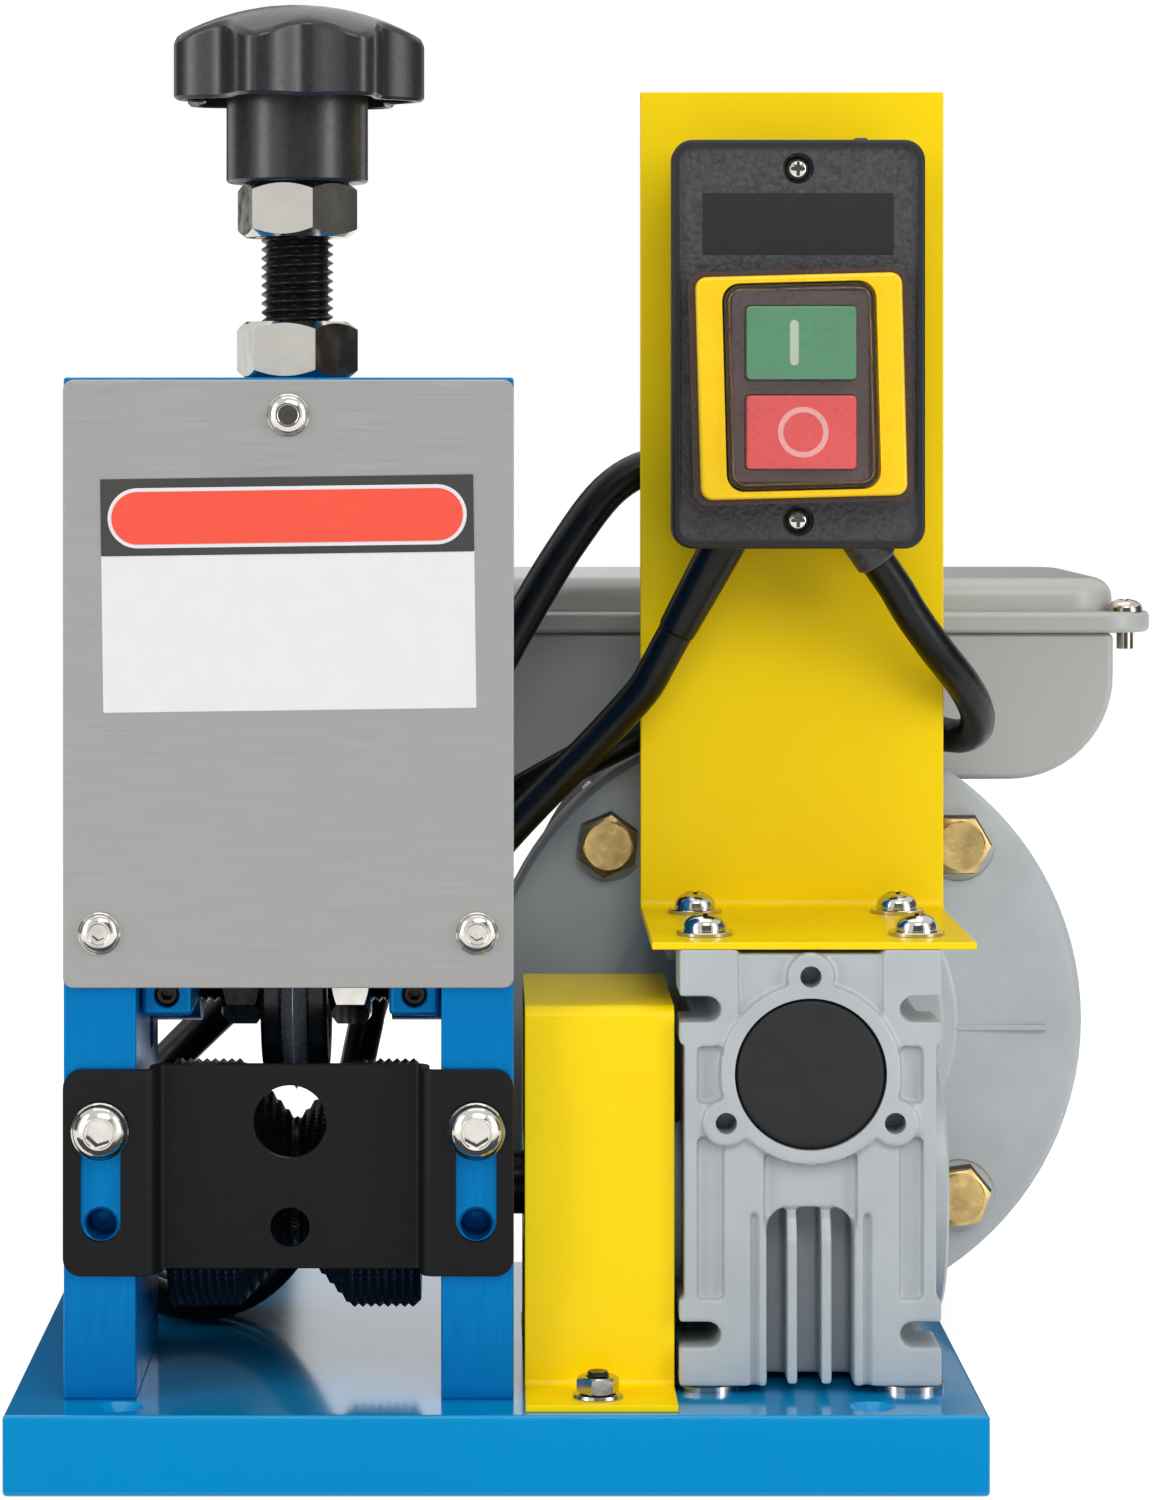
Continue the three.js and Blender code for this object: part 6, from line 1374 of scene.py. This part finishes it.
def switch_front():
    back = BOX_FRONT + FIELD_DEPTH - 0.3
    wide, high = 48.8, 51.8
    front = span("switch_bezel")[0].y
    outer = plate(BEZEL_Z, wide - 3, high - 2.4, 2.6, front, back, 6, 0.9)
    window = plate(BEZEL_Z, 34.2, 46.2, 4, front - OVER, back + OVER)
    stands_for("switch_bezel", tilted(carved(outer, window)), BEZEL)
    gasket = plate(BEZEL_Z, wide, high, 3.2, front + 1.8, back, 6)
    hole = plate(BEZEL_Z, wide - 2.9, high - 2.3, 2.6, front - OVER, back + OVER, 6)
    piece("switch_gasket", tilted(carved(gasket, hole)), GASKET)

    wide, high = 33.2, 45.2
    front = span("button_guard")[0].y
    shell = plate(BEZEL_Z, wide, high, 3.6, front, back, 8, 1.2, 4)
    hollow = plate(BEZEL_Z, wide - 1.8, high - 1.8, 2.8, front + 0.9, back + 5, 8, 0.7)
    stands_for("button_guard", tilted(carved(shell, hollow)), CLEAR)

    surround = plate(BEZEL_Z, wide - 2.6, high - 2.6, 2.2, back - 5.6, back, 6, 0.4, 2)
    piece("switch_surround", carved(surround, *openings(1, back - 9, back + 3)), SURROUND)
    for name, finish, pale in (("start", GREEN, PALE_GREEN), ("stop", RED, PALE_RED)):
        node = name + "_button"
        low, high = span(node)
        z = BUTTONS[name]
        face = low.y + 0.12
        stands_for(node, plate(z, BUTTON_WIDE, BUTTON_HIGH, 0.9, face, high.y, 5, 0.45), finish)
        if name == "start":
            mark = panel(66.1, z, 1.9, 10, 0.94, face - 0.1, face + 0.2, 8)
        else:
            mark = band("y", 4.4, 5.6, face - 0.1, face + 0.2, 68.05, z)
        piece(name + "_mark", mark, pale, node)


base_plate()
for side, hand in SIDES:
    side_plate(side, hand)
head_top_plate()
front_cover()
label()
wire_guide()
feed_roller()
for side, hand in SIDES:
    roller_bearing(side, hand)
blade_carriage()
blade_stack()
adjusting_screw()
star_knob()
coupling_cover()
gearbox()
input_flange()
motor()
terminal_box()
switch_bracket()
switch_box()
switch_front()

# Inner pieces whose CAD shape is right
keeps("worm_wheel", BRONZE)
keeps("worm_shaft", STEEL)
keeps("shaft_coupling", OXIDE)
keeps("motor_rotor", STEEL)
keeps("motor_fan", MATT)


# STUDIO

def seen_directly(nodes, links):
    """1 for rays that show this surface to the camera, in a mirror or through glass, else 0."""
    path = nodes.new("ShaderNodeLightPath")
    whole = path.outputs["Is Camera Ray"]
    for kind in ("Is Glossy Ray", "Is Transmission Ray"):
        both = nodes.new("ShaderNodeMath")
        both.operation = "MAXIMUM"
        links.new(whole, both.inputs[0])
        links.new(path.outputs[kind], both.inputs[1])
        whole = both.outputs[0]
    return whole


def world_light():
    """White where it is seen, and a plain even light on the object."""
    world = bpy.data.worlds.new("studio")
    bpy.context.scene.world = world
    world.use_nodes = True
    nodes, links = world.node_tree.nodes, world.node_tree.links
    mix = nodes.new("ShaderNodeMix")
    mix.data_type = "RGBA"
    mix.inputs["A"].default_value = (WORLD_LIGHT, WORLD_LIGHT, WORLD_LIGHT, 1)
    mix.inputs["B"].default_value = (1, 1, 1, 1)
    links.new(seen_directly(nodes, links), mix.inputs["Factor"])
    links.new(mix.outputs["Result"], nodes["Background"].inputs["Color"])


def staged(name, points, values):
    """A sheet of the studio, two rows of points, and its material's nodes and links."""
    half = len(points) // 2
    faces = [(i, i + 1, i + half + 1, i + half) for i in range(half - 1)]
    made = linked(mesh_of(points, faces), name)
    material = bpy.data.materials.new(name)
    material.use_nodes = True
    nodes = material.node_tree.nodes
    fill(nodes["Principled BSDF"].inputs, values)
    made.data.materials.append(material)
    return made, nodes, material.node_tree.links


def floor():
    """A pale floor that fades into the white background and keeps the object's shadow."""
    size = 4 / MM
    plane, nodes, links = staged("floor", [(x, y, 0) for y in (-size, size) for x in (-size, size)], {
        "Base Color": (0.8, 0.8, 0.8, 1), "Roughness": 0.8, "Specular IOR Level": 0.1,
        "Emission Color": (1, 1, 1, 1)})
    plane.location.z = -0.0002
    glow = nodes.new("ShaderNodeMath")
    glow.operation = "MULTIPLY"
    glow.inputs[1].default_value = FLOOR_GLOW
    links.new(seen_directly(nodes, links), glow.inputs[0])
    links.new(glow.outputs[0], nodes["Principled BSDF"].inputs["Emission Strength"])


def card(name, points, grey):
    """A studio card that only mirrors see."""
    made = staged(name, points, {
        "Base Color": (0, 0, 0, 1), "Specular IOR Level": 0, "Emission Color": (grey, grey, grey, 1),
        "Emission Strength": 1})[0]
    made.visible_camera = False
    made.visible_diffuse = False
    made.visible_transmission = False
    made.visible_shadow = False


def flag(name, start, end, high, grey):
    """A curved card round the machine, its angles from the front."""
    angles = [math.radians(start + (end - start) * i / FLAG_STEPS) for i in range(FLAG_STEPS + 1)]
    card(name, [(FLAG_REACH * math.sin(a), -FLAG_REACH * math.cos(a), z)
                for z in (-100, high) for a in angles], grey)


def lamp(name, place, aim, size, power):
    data = bpy.data.lights.new(name, "AREA")
    data.shape = "RECTANGLE"
    data.size, data.size_y = size
    data.energy = power
    thing = bpy.data.objects.new(name, data)
    thing.location = place
    thing.rotation_euler = (Vector(aim) - Vector(place)).to_track_quat("-Z", "Y").to_euler()
    bpy.context.scene.collection.objects.link(thing)


WORLD_LIGHT = 0.4
FLOOR_GLOW = 0.66
FLAG_REACH = 1500
FLAG_STEPS = 12

world_light()
floor()
flag("flag_front", -18, 34, 1100, 0.12)
flag("flag_right", 76, 130, 900, 0.12)
flag("flag_left", -118, -76, 900, 0.12)
card("flag_low", [(x, y, 0.4) for y in (-170, -87) for x in (-300, 300)], 0.1)
flag("flag_back_left", -175.8, -146, 900, 0.03)
flag("flag_back_right", 146, 171, 900, 0.06)
lamp("key", (-0.97, -0.7, 0.5), (0, 0, 0.2), (0.34, 1.0), 4.2)
lamp("fill", (0.97, -0.7, 0.5), (0, 0, 0.2), (0.34, 1.0), 4.2)
lamp("front", (0.25, -1.5, 1.2), (0.05, 0, 0.15), (1.0, 0.8), 10)
lamp("top", (0, 0.1, 1.5), (0, 0, 0.1), (1.2, 1.2), 5)
bpy.context.scene.view_settings.view_transform = "Standard"
